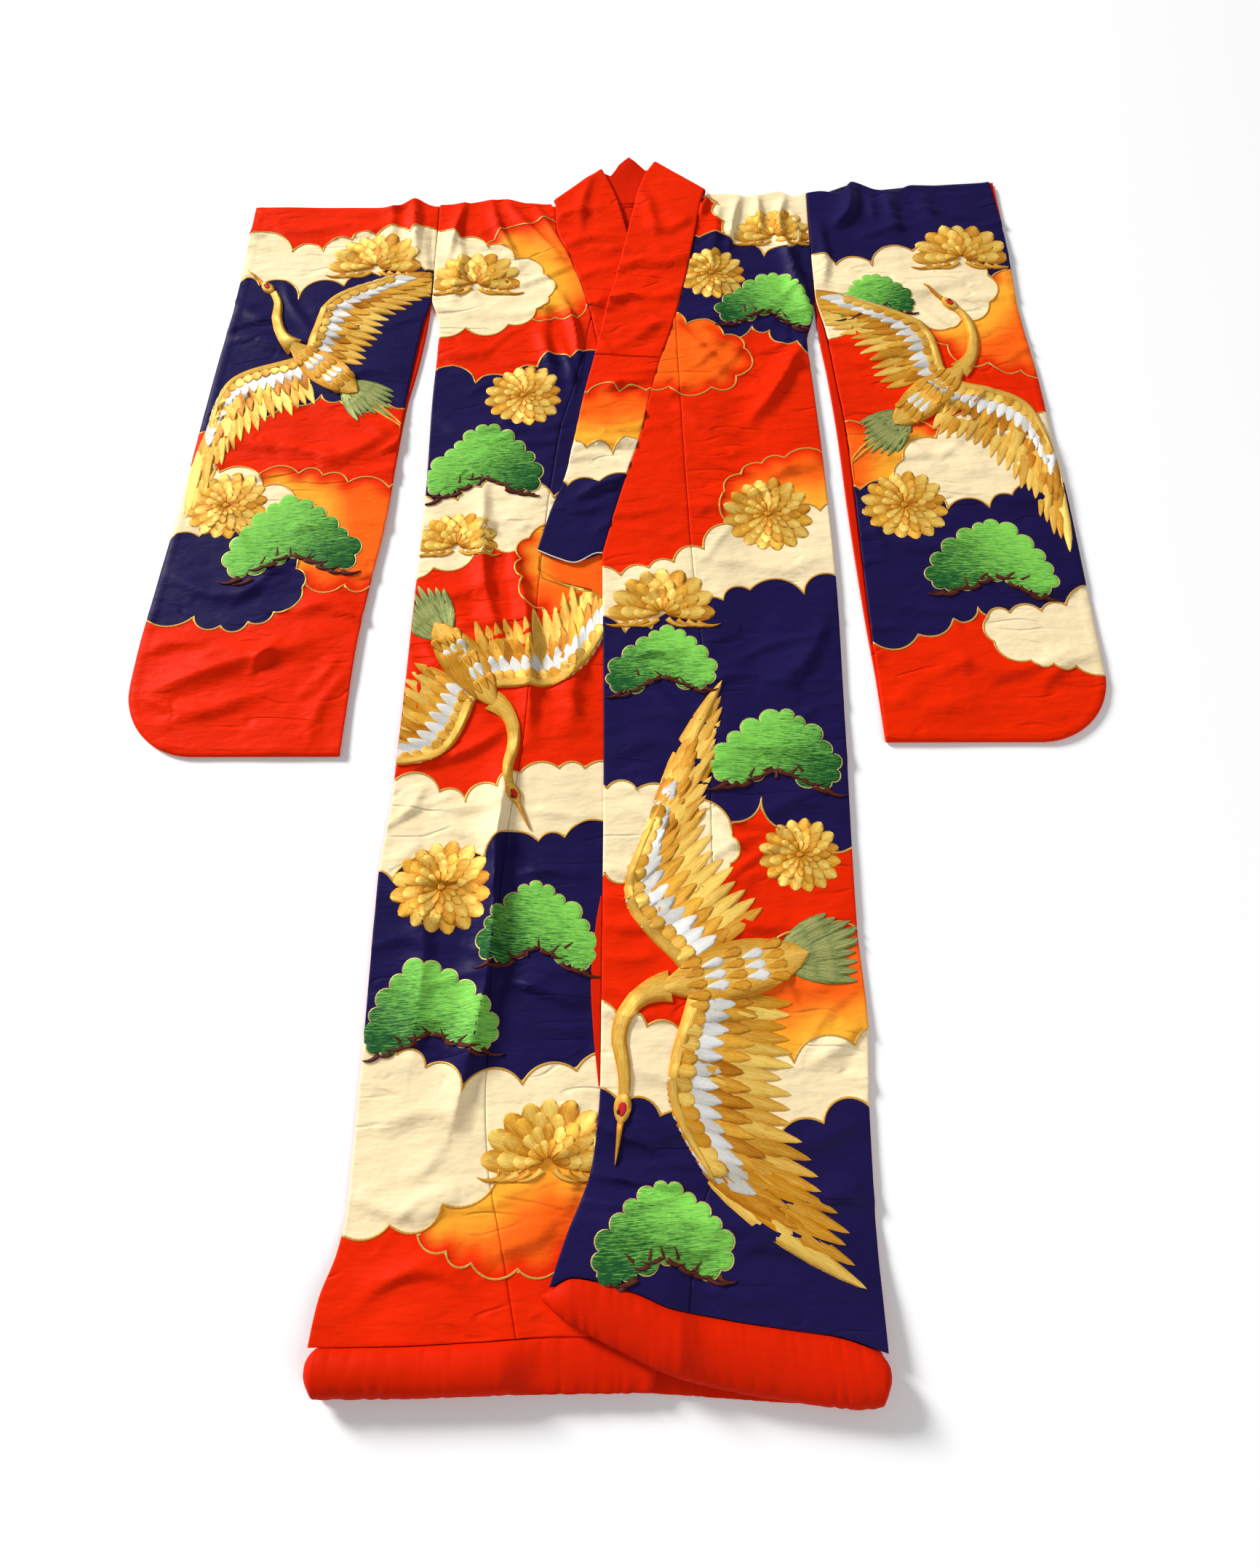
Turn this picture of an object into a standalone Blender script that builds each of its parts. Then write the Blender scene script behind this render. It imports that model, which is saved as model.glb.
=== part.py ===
"""Uchikake, the padded over-kimono of a bride, laid out flat with its front up.

Every piece that is cut and sewn is its own solid: two body lengths that run from the
back hem over the shoulder to the front hem, two overlaps, two sleeves sewn as flat bags,
the collar with its over-collar, the linings where they show, and three padded hem rolls.

Frame: metres, +X to the wearer's left, +Y towards the neck, +Z up. The origin lies on
the surface, under the middle of the garment's outline. In the tables, x is measured
from the centre-back seam and down is measured from the shoulder line to the hem.
"""
import bpy
import bmesh
from math import cos, exp, hypot, pi, sin
from mathutils import Vector

# Driving sizes
CLOTH = 0.0030          # one layer: outer cloth, interlining and lining as one wall
OVER_COLLAR = 0.0042    # collar and over-collar together
LINING = 0.0010         # a facing or lining that shows by itself
GAP = 0.0003            # between pieces that touch
SEAM = 0.0004           # across a seam, measured along x
SHOULDER_Y = 0.8872     # where the shoulder line lies
CENTRE_X = 0.0060       # where the centre-back seam lies
HEM = 1.800             # shoulder line to the seam of the hem roll
ARMHOLE = 0.225         # shoulder line to the underarm
COLLAR_END = 0.729      # shoulder line to the lower end of the collar
OVER_COLLAR_END = 0.359
WRIST_OPENING = 0.230
SLEEVE_CORNER = 0.105   # radius of the rounded lower corner

# Levels of what lies on the back
FRONT_LEVEL = CLOTH + GAP                       # underside of the right front
OVERLAP_RISE = OVER_COLLAR + 2 * GAP            # the left front over the right collar
OVERLAP_RISE_LOW = CLOTH + GAP                  # the left front over the right overlap
NECK_RISE = OVER_COLLAR + LINING + 2 * GAP - CLOTH
HEM_ROLL = 0.014                                # height of a front hem roll
BACK_ROLL = 0.010                               # the back roll, pressed by the fronts
ROLL_SEAM = 0.008                               # height of the seam on a roll

RED = (0.80, 0.035, 0.012, 1.0)
LINING_RED = (0.76, 0.025, 0.008, 1.0)

# Outer outline of the shoulder fold: x, height above the shoulder line
SHOULDER = [(-0.643, -0.016), (-0.500, -0.018), (-0.400, -0.019), (-0.361, 0.000),
            (-0.330, -0.016), (-0.287, -0.014), (-0.204, -0.003), (-0.165, -0.012),
            (-0.125, -0.015), (0.146, 0.0055), (0.188, 0.0055), (0.215, 0.000),
            (0.246, 0.0055), (0.272, 0.011), (0.298, -0.001), (0.320, 0.008),
            (0.347, 0.0127), (0.380, 0.006), (0.402, 0.033), (0.446, 0.0145),
            (0.476, 0.011), (0.505, 0.024), (0.576, 0.022), (0.650, 0.031)]

# Edges of the body: down, x
RIGHT_SIDE = [(0.000, -0.3203), (0.110, -0.3203), (ARMHOLE, -0.3203), (0.270, -0.308),
              (0.315, -0.303), (0.445, -0.3057), (0.600, -0.304), (0.800, -0.308),
              (1.120, -0.316), (1.240, -0.326), (1.500, -0.3265), (1.650, -0.328),
              (1.700, -0.335), (1.750, -0.350), (1.800, -0.3564)]
LEFT_SIDE = [(0.000, 0.3203), (0.110, 0.3203), (ARMHOLE, 0.3203), (0.270, 0.3166),
             (0.325, 0.3035), (0.420, 0.309), (0.600, 0.317), (0.800, 0.322),
             (1.000, 0.3195), (1.300, 0.315), (1.420, 0.320), (1.540, 0.3135),
             (1.700, 0.311), (1.800, 0.3125)]
RIGHT_COLLAR_SEAM = [(0.012, -0.1186), (0.074, -0.115), (0.131, -0.094), (0.205, -0.068),
                     (0.267, -0.052), (0.315, -0.042), (0.435, -0.016), (0.550, 0.004),
                     (0.650, 0.018), (COLLAR_END, 0.028)]
LEFT_COLLAR_SEAM = [(-0.004, 0.141), (0.027, 0.1336), (0.079, 0.1257), (0.184, 0.107),
                    (0.299, 0.081), (0.359, 0.063), (0.435, 0.0447), (0.503, 0.0316),
                    (0.586, 0.0085), (0.655, -0.010), (COLLAR_END, -0.028)]
RIGHT_OVERLAP_SEAM = [(0.270, -0.052), (0.390, -0.072), (0.500, -0.098), (0.729, -0.120),
                      (1.000, -0.134), (1.200, -0.155), (1.500, -0.167), (1.600, -0.160),
                      (1.700, -0.138), (1.800, -0.1155)]
LEFT_OVERLAP_SEAM = [(0.270, 0.0880), (0.500, 0.0960), (0.700, 0.105), (0.950, 0.122),
                     (1.110, 0.126), (1.490, 0.1235), (1.600, 0.121), (1.710, 0.094),
                     (1.800, 0.085)]
RIGHT_FREE_EDGE = [(COLLAR_END, 0.028), (1.000, 0.020), (1.200, 0.000), (1.500, -0.006),
                   (1.650, 0.020), (1.800, 0.046)]
LEFT_FREE_EDGE = [(COLLAR_END, -0.028), (1.200, -0.022), (1.500, -0.022), (1.600, -0.027),
                  (1.650, -0.032), (1.700, -0.043), (1.750, -0.060), (1.800, -0.078)]
# The hem seam of each front: x, down
RIGHT_HEM = [(-0.3564, 1.803), (-0.255, 1.801), (-0.158, 1.796), (-0.061, 1.790), (0.046, 1.790)]
LEFT_HEM = [(-0.078, 1.738), (-0.050, 1.727), (-0.012, 1.733), (0.0265, 1.745), (0.065, 1.760),
            (0.133, 1.773), (0.206, 1.783), (0.254, 1.789), (0.3125, 1.807)]

# The back of the neck, from the left shoulder to the right: x, down
NECKLINE = [(0.1475, -0.0024), (0.100, 0.0110), (0.050, 0.0190), (0.000, 0.0220),
            (-0.050, 0.0205), (-0.090, 0.0180), (-0.1245, 0.0175)]

# The collar band. Each row of cloth runs from the seam edge to the free edge.
# Left half, neck fold to end: seam down, free x, free down, bow of the row's middle
LEFT_COLLAR = [(-0.004, 0.0530, -0.0723, 0.0), (0.027, 0.0345, -0.0360, 0.0),
               (0.079, 0.0185, 0.0320, 0.0), (0.131, 0.0060, 0.1000, 0.0),
               (0.184, -0.0070, 0.1650, 0.0), (0.270, -0.0280, 0.2600, 0.0),
               (0.359, -0.0450, 0.3510, 0.0), (0.435, -0.0600, 0.4240, 0.0),
               (0.510, -0.0730, 0.5050, 0.0), (0.586, -0.0870, 0.5860, 0.0),
               (0.655, -0.1080, 0.6500, 0.004), (COLLAR_END, -0.1270, 0.7235, 0.018)]
RIGHT_COLLAR = [(0.012, -0.0366, -0.0623, 0.0), (0.074, -0.0125, 0.0000, 0.0),
                (0.131, 0.0060, 0.0750, 0.0), (0.205, 0.0280, 0.1650, 0.0),
                (0.267, 0.0450, 0.2400, 0.0), (0.359, 0.0670, 0.3500, 0.0),
                (0.435, 0.0830, 0.4300, 0.0), (0.550, 0.0990, 0.5500, 0.0),
                (0.650, 0.1140, 0.6500, 0.004), (COLLAR_END, 0.1280, 0.7250, 0.018)]
# Where the left front's edge lies on the right front: down, x
COVER = ([(free_down, free_x) for _, free_x, free_down, _ in LEFT_COLLAR[2:]]
         + [(0.765, -0.127), (0.800, -0.028), (1.200, -0.022), (1.600, -0.027), (1.740, -0.085)])
# Behind the neck, left fold to right fold: free x, free down
NECK_TOP = [(0.0370, -0.0640), (0.0210, -0.0800), (0.0096, -0.0895), (-0.0076, -0.0740),
            (-0.0190, -0.0520)]
# Sleeves, top to bottom: inner down, front layer's inner x, back layer's inner x,
# outer x, outer down, how far the front layer stops short at the wrist
RIGHT_SLEEVE = [(0.017, -0.3209, -0.3209, -0.643, 0.016, 0.0),
                (0.110, -0.3209, -0.3209, -0.646, 0.110, 0.0),
                (0.225, -0.3209, -0.3209, -0.651, 0.225, 0.0),
                (0.280, -0.3310, -0.3235, -0.656, 0.280, 0.0),
                (0.360, -0.3405, -0.3320, -0.664, 0.360, 0.0),
                (0.454, -0.3490, -0.3465, -0.672, 0.460, 0.0),
                (0.652, -0.3600, -0.3630, -0.687, 0.660, 0.0),
                (0.780, -0.3760, -0.3790, -0.700, 0.790, 0.0),
                (0.883, -0.3875, -0.3905, -0.709, 0.890, 0.0),
                (0.950, -0.3910, -0.3940, -0.7115, 0.950, 0.0),
                (1.058, -0.3950, -0.3980, -0.7115, 1.058, 0.0)]
LEFT_SLEEVE = [(-0.008, 0.3209, 0.3209, 0.6500, -0.031, 0.0075),
               (0.110, 0.3209, 0.3209, 0.6555, 0.105, 0.001),
               (0.225, 0.3225, 0.3209, 0.6566, 0.225, 0.0),
               (0.300, 0.3355, 0.3230, 0.6620, 0.300, 0.0),
               (0.392, 0.3450, 0.3325, 0.6720, 0.392, 0.0),
               (0.510, 0.3560, 0.3415, 0.6790, 0.510, 0.0),
               (0.650, 0.3610, 0.3480, 0.6890, 0.650, 0.0),
               (0.850, 0.3670, 0.3610, 0.6960, 0.850, 0.0),
               (0.940, 0.3715, 0.3690, 0.6995, 0.940, 0.0),
               (1.038, 0.3750, 0.3750, 0.6995, 1.038, 0.0)]

# The largest soft folds that lie in each group of pieces:
# from x, from down, to x, to down, half width, height
RIGHT_FRONT_FOLDS = [(-0.140, 0.700, -0.142, 1.020, 0.016, 0.008),
                     (-0.205, 0.440, -0.200, 0.720, 0.018, 0.006),
                     (-0.295, 0.860, -0.150, 1.010, 0.020, 0.006),
                     (-0.150, 1.080, -0.176, 1.500, 0.018, 0.009),
                     (-0.300, 1.060, -0.200, 1.020, 0.020, 0.005),
                     (-0.193, 0.040, -0.150, 0.150, 0.016, 0.006),
                     (-0.240, 0.060, -0.235, 0.180, 0.018, 0.005),
                     (-0.160, 1.700, -0.075, 1.670, 0.018, 0.006)]
LEFT_FRONT_FOLDS = [(0.200, 0.490, 0.300, 0.320, 0.018, 0.007),
                    (0.277, 0.120, 0.310, 0.260, 0.013, 0.010),
                    (0.210, 0.030, 0.200, 0.130, 0.015, 0.006),
                    (0.250, 0.030, 0.235, 0.110, 0.013, 0.006),
                    (0.230, 0.950, 0.300, 0.840, 0.020, 0.005),
                    (0.000, 1.610, 0.115, 1.640, 0.018, 0.007),
                    (0.240, 1.480, 0.310, 1.430, 0.018, 0.005),
                    (0.130, 1.690, 0.300, 1.740, 0.022, 0.005)]
RIGHT_SLEEVE_FOLDS = [(-0.365, 0.000, -0.350, 0.150, 0.016, 0.009),
                      (-0.400, 0.020, -0.395, 0.110, 0.016, 0.005),
                      (-0.680, 0.960, -0.450, 0.880, 0.022, 0.007),
                      (-0.660, 1.010, -0.500, 0.950, 0.018, 0.005),
                      (-0.480, 0.560, -0.370, 0.500, 0.020, 0.005)]
LEFT_SLEEVE_FOLDS = [(0.402, -0.030, 0.385, 0.080, 0.016, 0.009),
                     (0.460, 0.000, 0.470, 0.100, 0.018, 0.006),
                     (0.465, 0.390, 0.561, 0.495, 0.018, 0.008),
                     (0.570, 0.505, 0.660, 0.530, 0.018, 0.006),
                     (0.420, 0.880, 0.600, 0.940, 0.022, 0.005)]

# The rows of cloth that the fronts, the overlaps and the collar share: down
ROWS = [0.027, 0.053, 0.079, 0.105, 0.131, 0.157, 0.184, 0.205, 0.225, 0.247, 0.270, 0.300,
        0.330, 0.359, 0.397, 0.435, 0.472, 0.510, 0.548, 0.586, 0.620, 0.655, 0.692, 0.729,
        0.760, 0.800, 0.840, 0.880, 0.920, 0.960, 1.000, 1.040, 1.080, 1.120, 1.160, 1.200,
        1.240, 1.280, 1.320, 1.360, 1.400, 1.440, 1.480, 1.520, 1.555, 1.590, 1.625, 1.655,
        1.685, 1.715, 1.740, 1.762, 1.782, HEM]
BACK_ROWS = [0.100, 0.225, 0.270, 0.325, 0.445, 0.600, 0.800, 1.000, 1.200, 1.400, 1.550,
             1.650, 1.700, 1.750, HEM - GAP]
TIP_ROW = ROWS.index(0.270)             # where the overlaps taper to a point
COLLAR_ROW = ROWS.index(COLLAR_END)
OVER_COLLAR_ROW = ROWS.index(OVER_COLLAR_END)
BODY_COLUMNS = 9
OVERLAP_COLUMNS = 5
COLLAR_COLUMNS = 5
SLEEVE_COLUMNS = 11
SLEEVE_ROWS = 29
CORNER_ROWS = 8
FOLD_STEPS = 5


def curve(table, key, column):
    """A column of a table at a key between its rows, on a smooth curve through them."""
    keys = [row[0] for row in table]
    if keys[0] > keys[-1]:
        table = table[::-1]
        keys = keys[::-1]
    key = min(max(key, keys[0]), keys[-1])
    i = max(k for k in range(len(keys) - 1) if keys[k] <= key)
    values = [row[column] for row in table]

    def slope(k):
        if k == 0 or k == len(keys) - 1:
            return (values[min(k + 1, len(keys) - 1)] - values[max(k - 1, 0)]) / (
                keys[min(k + 1, len(keys) - 1)] - keys[max(k - 1, 0)])
        before = (values[k] - values[k - 1]) / (keys[k] - keys[k - 1])
        after = (values[k + 1] - values[k]) / (keys[k + 1] - keys[k])
        return 0.0 if before * after <= 0 else 2 * before * after / (before + after)

    step = keys[i + 1] - keys[i]
    t = (key - keys[i]) / step
    start = (1 + 2 * t) * (1 - t) ** 2 * values[i] + t * (1 - t) ** 2 * step * slope(i)
    end = t * t * (3 - 2 * t) * values[i + 1] - t * t * (1 - t) * step * slope(i + 1)
    return start + end


def smooth(low, high, value):
    """0 below low, 1 above high, with a soft step between."""
    t = min(max((value - low) / (high - low), 0.0), 1.0)
    return t * t * (3 - 2 * t)


def mix(a, b, t):
    return a + (b - a) * t


def place(x, down, z):
    return Vector((x + CENTRE_X, SHOULDER_Y - down, z))


def folds(table, x, down):
    """Height of the soft folds at a point of the cloth."""
    height = 0.0
    for x0, down0, x1, down1, half_width, top in table:
        run_x, run_down = x1 - x0, down1 - down0
        length = hypot(run_x, run_down)
        t = ((x - x0) * run_x + (down - down0) * run_down) / length ** 2
        off = abs((x - x0) * run_down - (down - down0) * run_x) / length
        past = max(-t, t - 1, 0.0) * length
        height += top * exp(-(off / half_width) ** 2 - (past / (2.5 * half_width)) ** 2)
    return height


def shoulder_shift(x, x_inner, x_outer, down):
    """How far the shoulder's wavy fold carries a point, beyond a straight row."""
    straight = mix(curve(SHOULDER, x_inner, 1), curve(SHOULDER, x_outer, 1),
                   (x - x_inner) / (x_outer - x_inner))
    return (curve(SHOULDER, x, 1) - straight) * exp(-(down / 0.09) ** 2)


def material(name, colour):
    made = bpy.data.materials.new(name)
    made.use_nodes = True
    shader = made.node_tree.nodes["Principled BSDF"]
    shader.inputs["Base Color"].default_value = colour
    shader.inputs["Roughness"].default_value = 0.55
    shader.inputs["Metallic"].default_value = 0.0
    made.diffuse_color = colour
    return made


def solid(name, points, faces, finish):
    """A named object from points and faces, closed and with its faces outward."""
    mesh = bpy.data.meshes.new(name)
    work = bmesh.new()
    corners = [work.verts.new(point) for point in points]
    for face in faces:
        work.faces.new([corners[k] for k in face])
    bmesh.ops.recalc_face_normals(work, faces=work.faces)
    work.to_mesh(mesh)
    work.free()
    mesh.shade_smooth()
    mesh.set_sharp_from_angle(angle=pi / 4)
    mesh.materials.append(finish)
    made = bpy.data.objects.new(name, mesh)
    bpy.context.scene.collection.objects.link(made)
    return made


def wall(name, sheet, thickness, finish):
    """A wall of even thickness about a grid of (middle point, direction of its face)."""
    rows, columns = len(sheet), len(sheet[0])
    points = [point + side * thickness / 2 * face
              for side in (1, -1) for row in sheet for point, face in row]
    under = rows * columns
    faces = []
    for i in range(rows - 1):
        for j in range(columns - 1):
            a = i * columns + j
            for corners in ((a, a + 1, a + columns + 1), (a, a + columns + 1, a + columns)):
                faces.append(corners)
                faces.append([under + k for k in reversed(corners)])
    rim = list(range(columns))
    rim += [i * columns + columns - 1 for i in range(1, rows)]
    rim += [(rows - 1) * columns + j for j in range(columns - 2, -1, -1)]
    rim += [i * columns for i in range(rows - 2, 0, -1)]
    for a, b in zip(rim, rim[1:] + rim[:1]):
        faces.append((a, b, under + b, under + a))
    return solid(name, points, faces, finish)


def flat_row(points, level, relief=None, up=1, thickness=CLOTH):
    """A row of a panel: its places (x, down), its underside's height and its folds."""
    row = []
    for x, down in points:
        under = level(x, down) if callable(level) else level
        raised = relief(x, down) if relief else 0.0
        row.append((place(x, down, under + thickness / 2 + raised), Vector((0, 0, up))))
    return row


def fold_rows(front_row, back_row, outward):
    """The rows round a fold, from the front layer to the back layer under it."""
    rows = []
    for k in range(1, FOLD_STEPS):
        angle = pi / 2 - pi * k / FOLD_STEPS
        row = []
        for (front, _), (back, _) in zip(front_row, back_row):
            radius = (front.z - back.z) / 2
            middle = Vector((mix(front.x, back.x, 0.5), mix(front.y, back.y, 0.5),
                             mix(front.z, back.z, 0.5)))
            face = outward * cos(angle) + Vector((0, 0, sin(angle)))
            row.append((middle + radius * face, face))
        rows.append(row)
    return rows


def hem_down(table, x, down):
    """Rows near the hem take the hem's own line."""
    return down + (curve(table, x, 1) - HEM) * smooth(1.45, HEM, down)


def right_level(x, down):
    """Underside of the right front: on the back, and over the back hem roll."""
    return FRONT_LEVEL + (BACK_ROLL + GAP + ROLL_SEAM - FRONT_LEVEL) * smooth(1.66, HEM, down)


def left_level(x, down):
    """Underside of the left front: over the right front, then down on the back."""
    rise = mix(OVERLAP_RISE, OVERLAP_RISE_LOW, smooth(0.76, 0.90, down))
    over = 1 - smooth(0.140, 0.200, x)
    level = FRONT_LEVEL + rise * over
    rolls = BACK_ROLL + GAP + (HEM_ROLL + GAP) * (1 - smooth(0.050, 0.110, x))
    seam = curve(LEFT_HEM, x, 1)
    return level + (rolls + ROLL_SEAM - level) * smooth(seam - 0.15, seam, down)


def right_relief(x, down):
    """The right front's folds, which die out where the left front lies on it."""
    covered = curve(COVER, down, 1)
    return folds(RIGHT_FRONT_FOLDS, x, down) * (1 - smooth(covered - 0.035, covered - 0.005, x))


def left_relief(x, down):
    return folds(LEFT_FRONT_FOLDS, x, down)


def body(name, side, collar_seam, overlap_seam, hem, level, relief, neckline, finish):
    """One length of cloth: front hem, shoulder fold, back hem."""
    sign = 1 if side[0][1] > 0 else -1
    inner_top = neckline[0]
    front = []
    steps = [j / BODY_COLUMNS for j in range(BODY_COLUMNS + 1)]
    for down in reversed(ROWS):
        if down <= ROWS[TIP_ROW]:
            inner = curve(collar_seam, down, 1)
        else:
            inner = curve(overlap_seam, down, 1)
        inner += sign * SEAM / 2
        outer = curve(side, down, 1)
        row = []
        for t in steps:
            x = mix(inner, outer, t)
            shift = shoulder_shift(x, inner, outer, down) if down < 0.3 else 0.0
            end = GAP if down == HEM else 0.0
            row.append((x, hem_down(hem, x, down) - shift - end))
        front.append(flat_row(row, level, relief))
    outer_x = side[0][1]
    outer_down = -curve(SHOULDER, outer_x, 1) + CLOTH
    top = []
    for t in steps:
        x = mix(inner_top[0], outer_x, t)
        top.append((x, mix(inner_top[1], outer_down, t)
                    - shoulder_shift(x, inner_top[0], outer_x, 0.0)))
    front_top = flat_row(top, FRONT_LEVEL)
    back_top = flat_row(top, 0.0, up=-1)
    back = []
    for k, (x_neck, down_neck) in enumerate(neckline[1:]):
        outer_row = mix(outer_down, BACK_ROWS[0], (k + 1) / len(neckline))
        x_neck += sign * SEAM / 2
        back.append(flat_row([(mix(x_neck, outer_x, t), mix(down_neck + SEAM, outer_row, t))
                              for t in steps], 0.0, up=-1))
    for down in BACK_ROWS:
        outer = curve(side, down, 1)
        back.append(flat_row([(mix(sign * SEAM / 2, outer, t), down) for t in steps],
                             0.0, up=-1))
    sheet = front + [front_top] + fold_rows(front_top, back_top, Vector((0, 1, 0)))
    return wall(name, sheet + [back_top] + back, CLOTH, finish)


def overlap(name, collar_seam, free_edge, overlap_seam, hem, level, relief, finish):
    """The strip sewn to a front's edge, from its point at the collar to the hem."""
    sign = 1 if overlap_seam[0][1] < 0 else -1
    tip, first = ROWS[TIP_ROW], ROWS[TIP_ROW + 1]
    tip_x = curve(collar_seam, tip, 1)
    cut = 0.22
    outer = mix(tip_x, curve(overlap_seam, first, 1), cut) + sign * SEAM / 2
    inner = mix(tip_x, curve(collar_seam, first, 1), cut) - sign * SEAM / 2
    row = [mix(outer, inner, j / OVERLAP_COLUMNS) for j in range(OVERLAP_COLUMNS + 1)]
    sheet = [flat_row([(x, mix(tip, first, cut)) for x in row], level, relief)]
    for down in ROWS[TIP_ROW + 1:]:
        edge = collar_seam if down < COLLAR_END else free_edge
        outer = curve(overlap_seam, down, 1) + sign * SEAM / 2
        inner = curve(edge, down, 1) - (sign * SEAM / 2 if down <= COLLAR_END else 0.0)
        end = GAP if down == HEM else 0.0
        row = [mix(outer, inner, j / OVERLAP_COLUMNS) for j in range(OVERLAP_COLUMNS + 1)]
        sheet.append(flat_row([(x, hem_down(hem, x, down) - end) for x in row], level, relief))
    return wall(name, sheet, CLOTH, finish)


def collar_row(seam_table, band, down, level, thickness, start=0.0):
    """A row of the collar, from the seam edge to the free edge."""
    seam_x = curve(seam_table, down, 1)
    sign = 1 if band[0][1] < seam_table[0][1] else -1
    seam_x -= sign * SEAM / 2
    free_x, free_down, bow = (curve(band, down, column) for column in (1, 2, 3))
    row = []
    for j in range(COLLAR_COLUMNS + 1):
        t = j / COLLAR_COLUMNS
        x = mix(seam_x, free_x, t)
        row.append((x, mix(down, free_down, t) + bow * sin(pi * t) + start))
    return flat_row(row, level, thickness=thickness)


def neck_rise(down):
    return NECK_RISE * (1 - smooth(0.080, 0.170, down))


def right_collar_level(x, down):
    return FRONT_LEVEL + neck_rise(down)


def left_collar_level(x, down):
    return left_level(min(x, 0.10), min(down, 0.74)) + neck_rise(down)


def neck_arch(x, down):
    """The back of the neck stands a little off the surface."""
    return 0.006 * smooth(-0.030, -0.090, down) * exp(-((x - 0.0096) / 0.030) ** 2)


def behind_neck():
    """The rows of the collar that lie behind the neck, their lining side up."""
    rows = []
    for (seam_x, seam_down), (free_x, free_down) in zip(NECKLINE[1:-1], NECK_TOP):
        across = [j / COLLAR_COLUMNS for j in range(COLLAR_COLUMNS + 1)]
        row = [(mix(seam_x, free_x, t), mix(seam_down - SEAM, free_down, t)) for t in across]
        rows.append(flat_row(row, neck_arch, up=-1, thickness=OVER_COLLAR))
    return rows


def over_collar(finish):
    """The cloth over the collar: left front, behind the neck, right front."""
    left = [collar_row(LEFT_COLLAR_SEAM, LEFT_COLLAR, down, left_collar_level, OVER_COLLAR,
                       -SEAM if down == OVER_COLLAR_END else 0.0)
            for down in [LEFT_COLLAR[0][0]] + ROWS[:OVER_COLLAR_ROW + 1]][::-1]
    right = [collar_row(RIGHT_COLLAR_SEAM, RIGHT_COLLAR, down, right_collar_level, OVER_COLLAR,
                        -SEAM if down == OVER_COLLAR_END else 0.0)
             for down in [RIGHT_COLLAR[0][0]] + ROWS[:OVER_COLLAR_ROW + 1]]
    ends = [[(point.x - CENTRE_X, SHOULDER_Y - point.y) for point, _ in row]
            for row in (left[-1], right[0])]
    behind = [flat_row(ends[0], 0.0, up=-1, thickness=OVER_COLLAR)]
    behind += behind_neck()
    behind.append(flat_row(ends[1], 0.0, up=-1, thickness=OVER_COLLAR))

    def outward(row, sign):
        run = row[-1][0] - row[0][0]
        return Vector((-run.y, run.x, 0)).normalized() * sign

    left_fold = fold_rows(left[-1], behind[0], outward(left[-1], -1))
    right_fold = fold_rows(right[0], behind[-1], outward(right[0], 1))
    sheet = left + left_fold + behind + right_fold[::-1] + right
    return wall("over_collar", sheet, OVER_COLLAR, finish)


def collar_end(name, seam_table, band, level, finish):
    """The collar below the over-collar."""
    sheet = [collar_row(seam_table, band, down, level, CLOTH,
                        SEAM if down == OVER_COLLAR_END else 0.0)
             for down in ROWS[OVER_COLLAR_ROW:COLLAR_ROW + 1]]
    return wall(name, sheet, CLOTH, finish)


def neck_lining(finish):
    """The collar's lining, which shows in the neck: the rows behind it, moved up."""
    lift = Vector((0, 0, OVER_COLLAR / 2 + GAP + LINING / 2))
    sheet = [[(point + lift, face) for point, face in row[1:]] for row in behind_neck()]
    return wall("neck_lining", sheet, LINING, finish)


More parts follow.
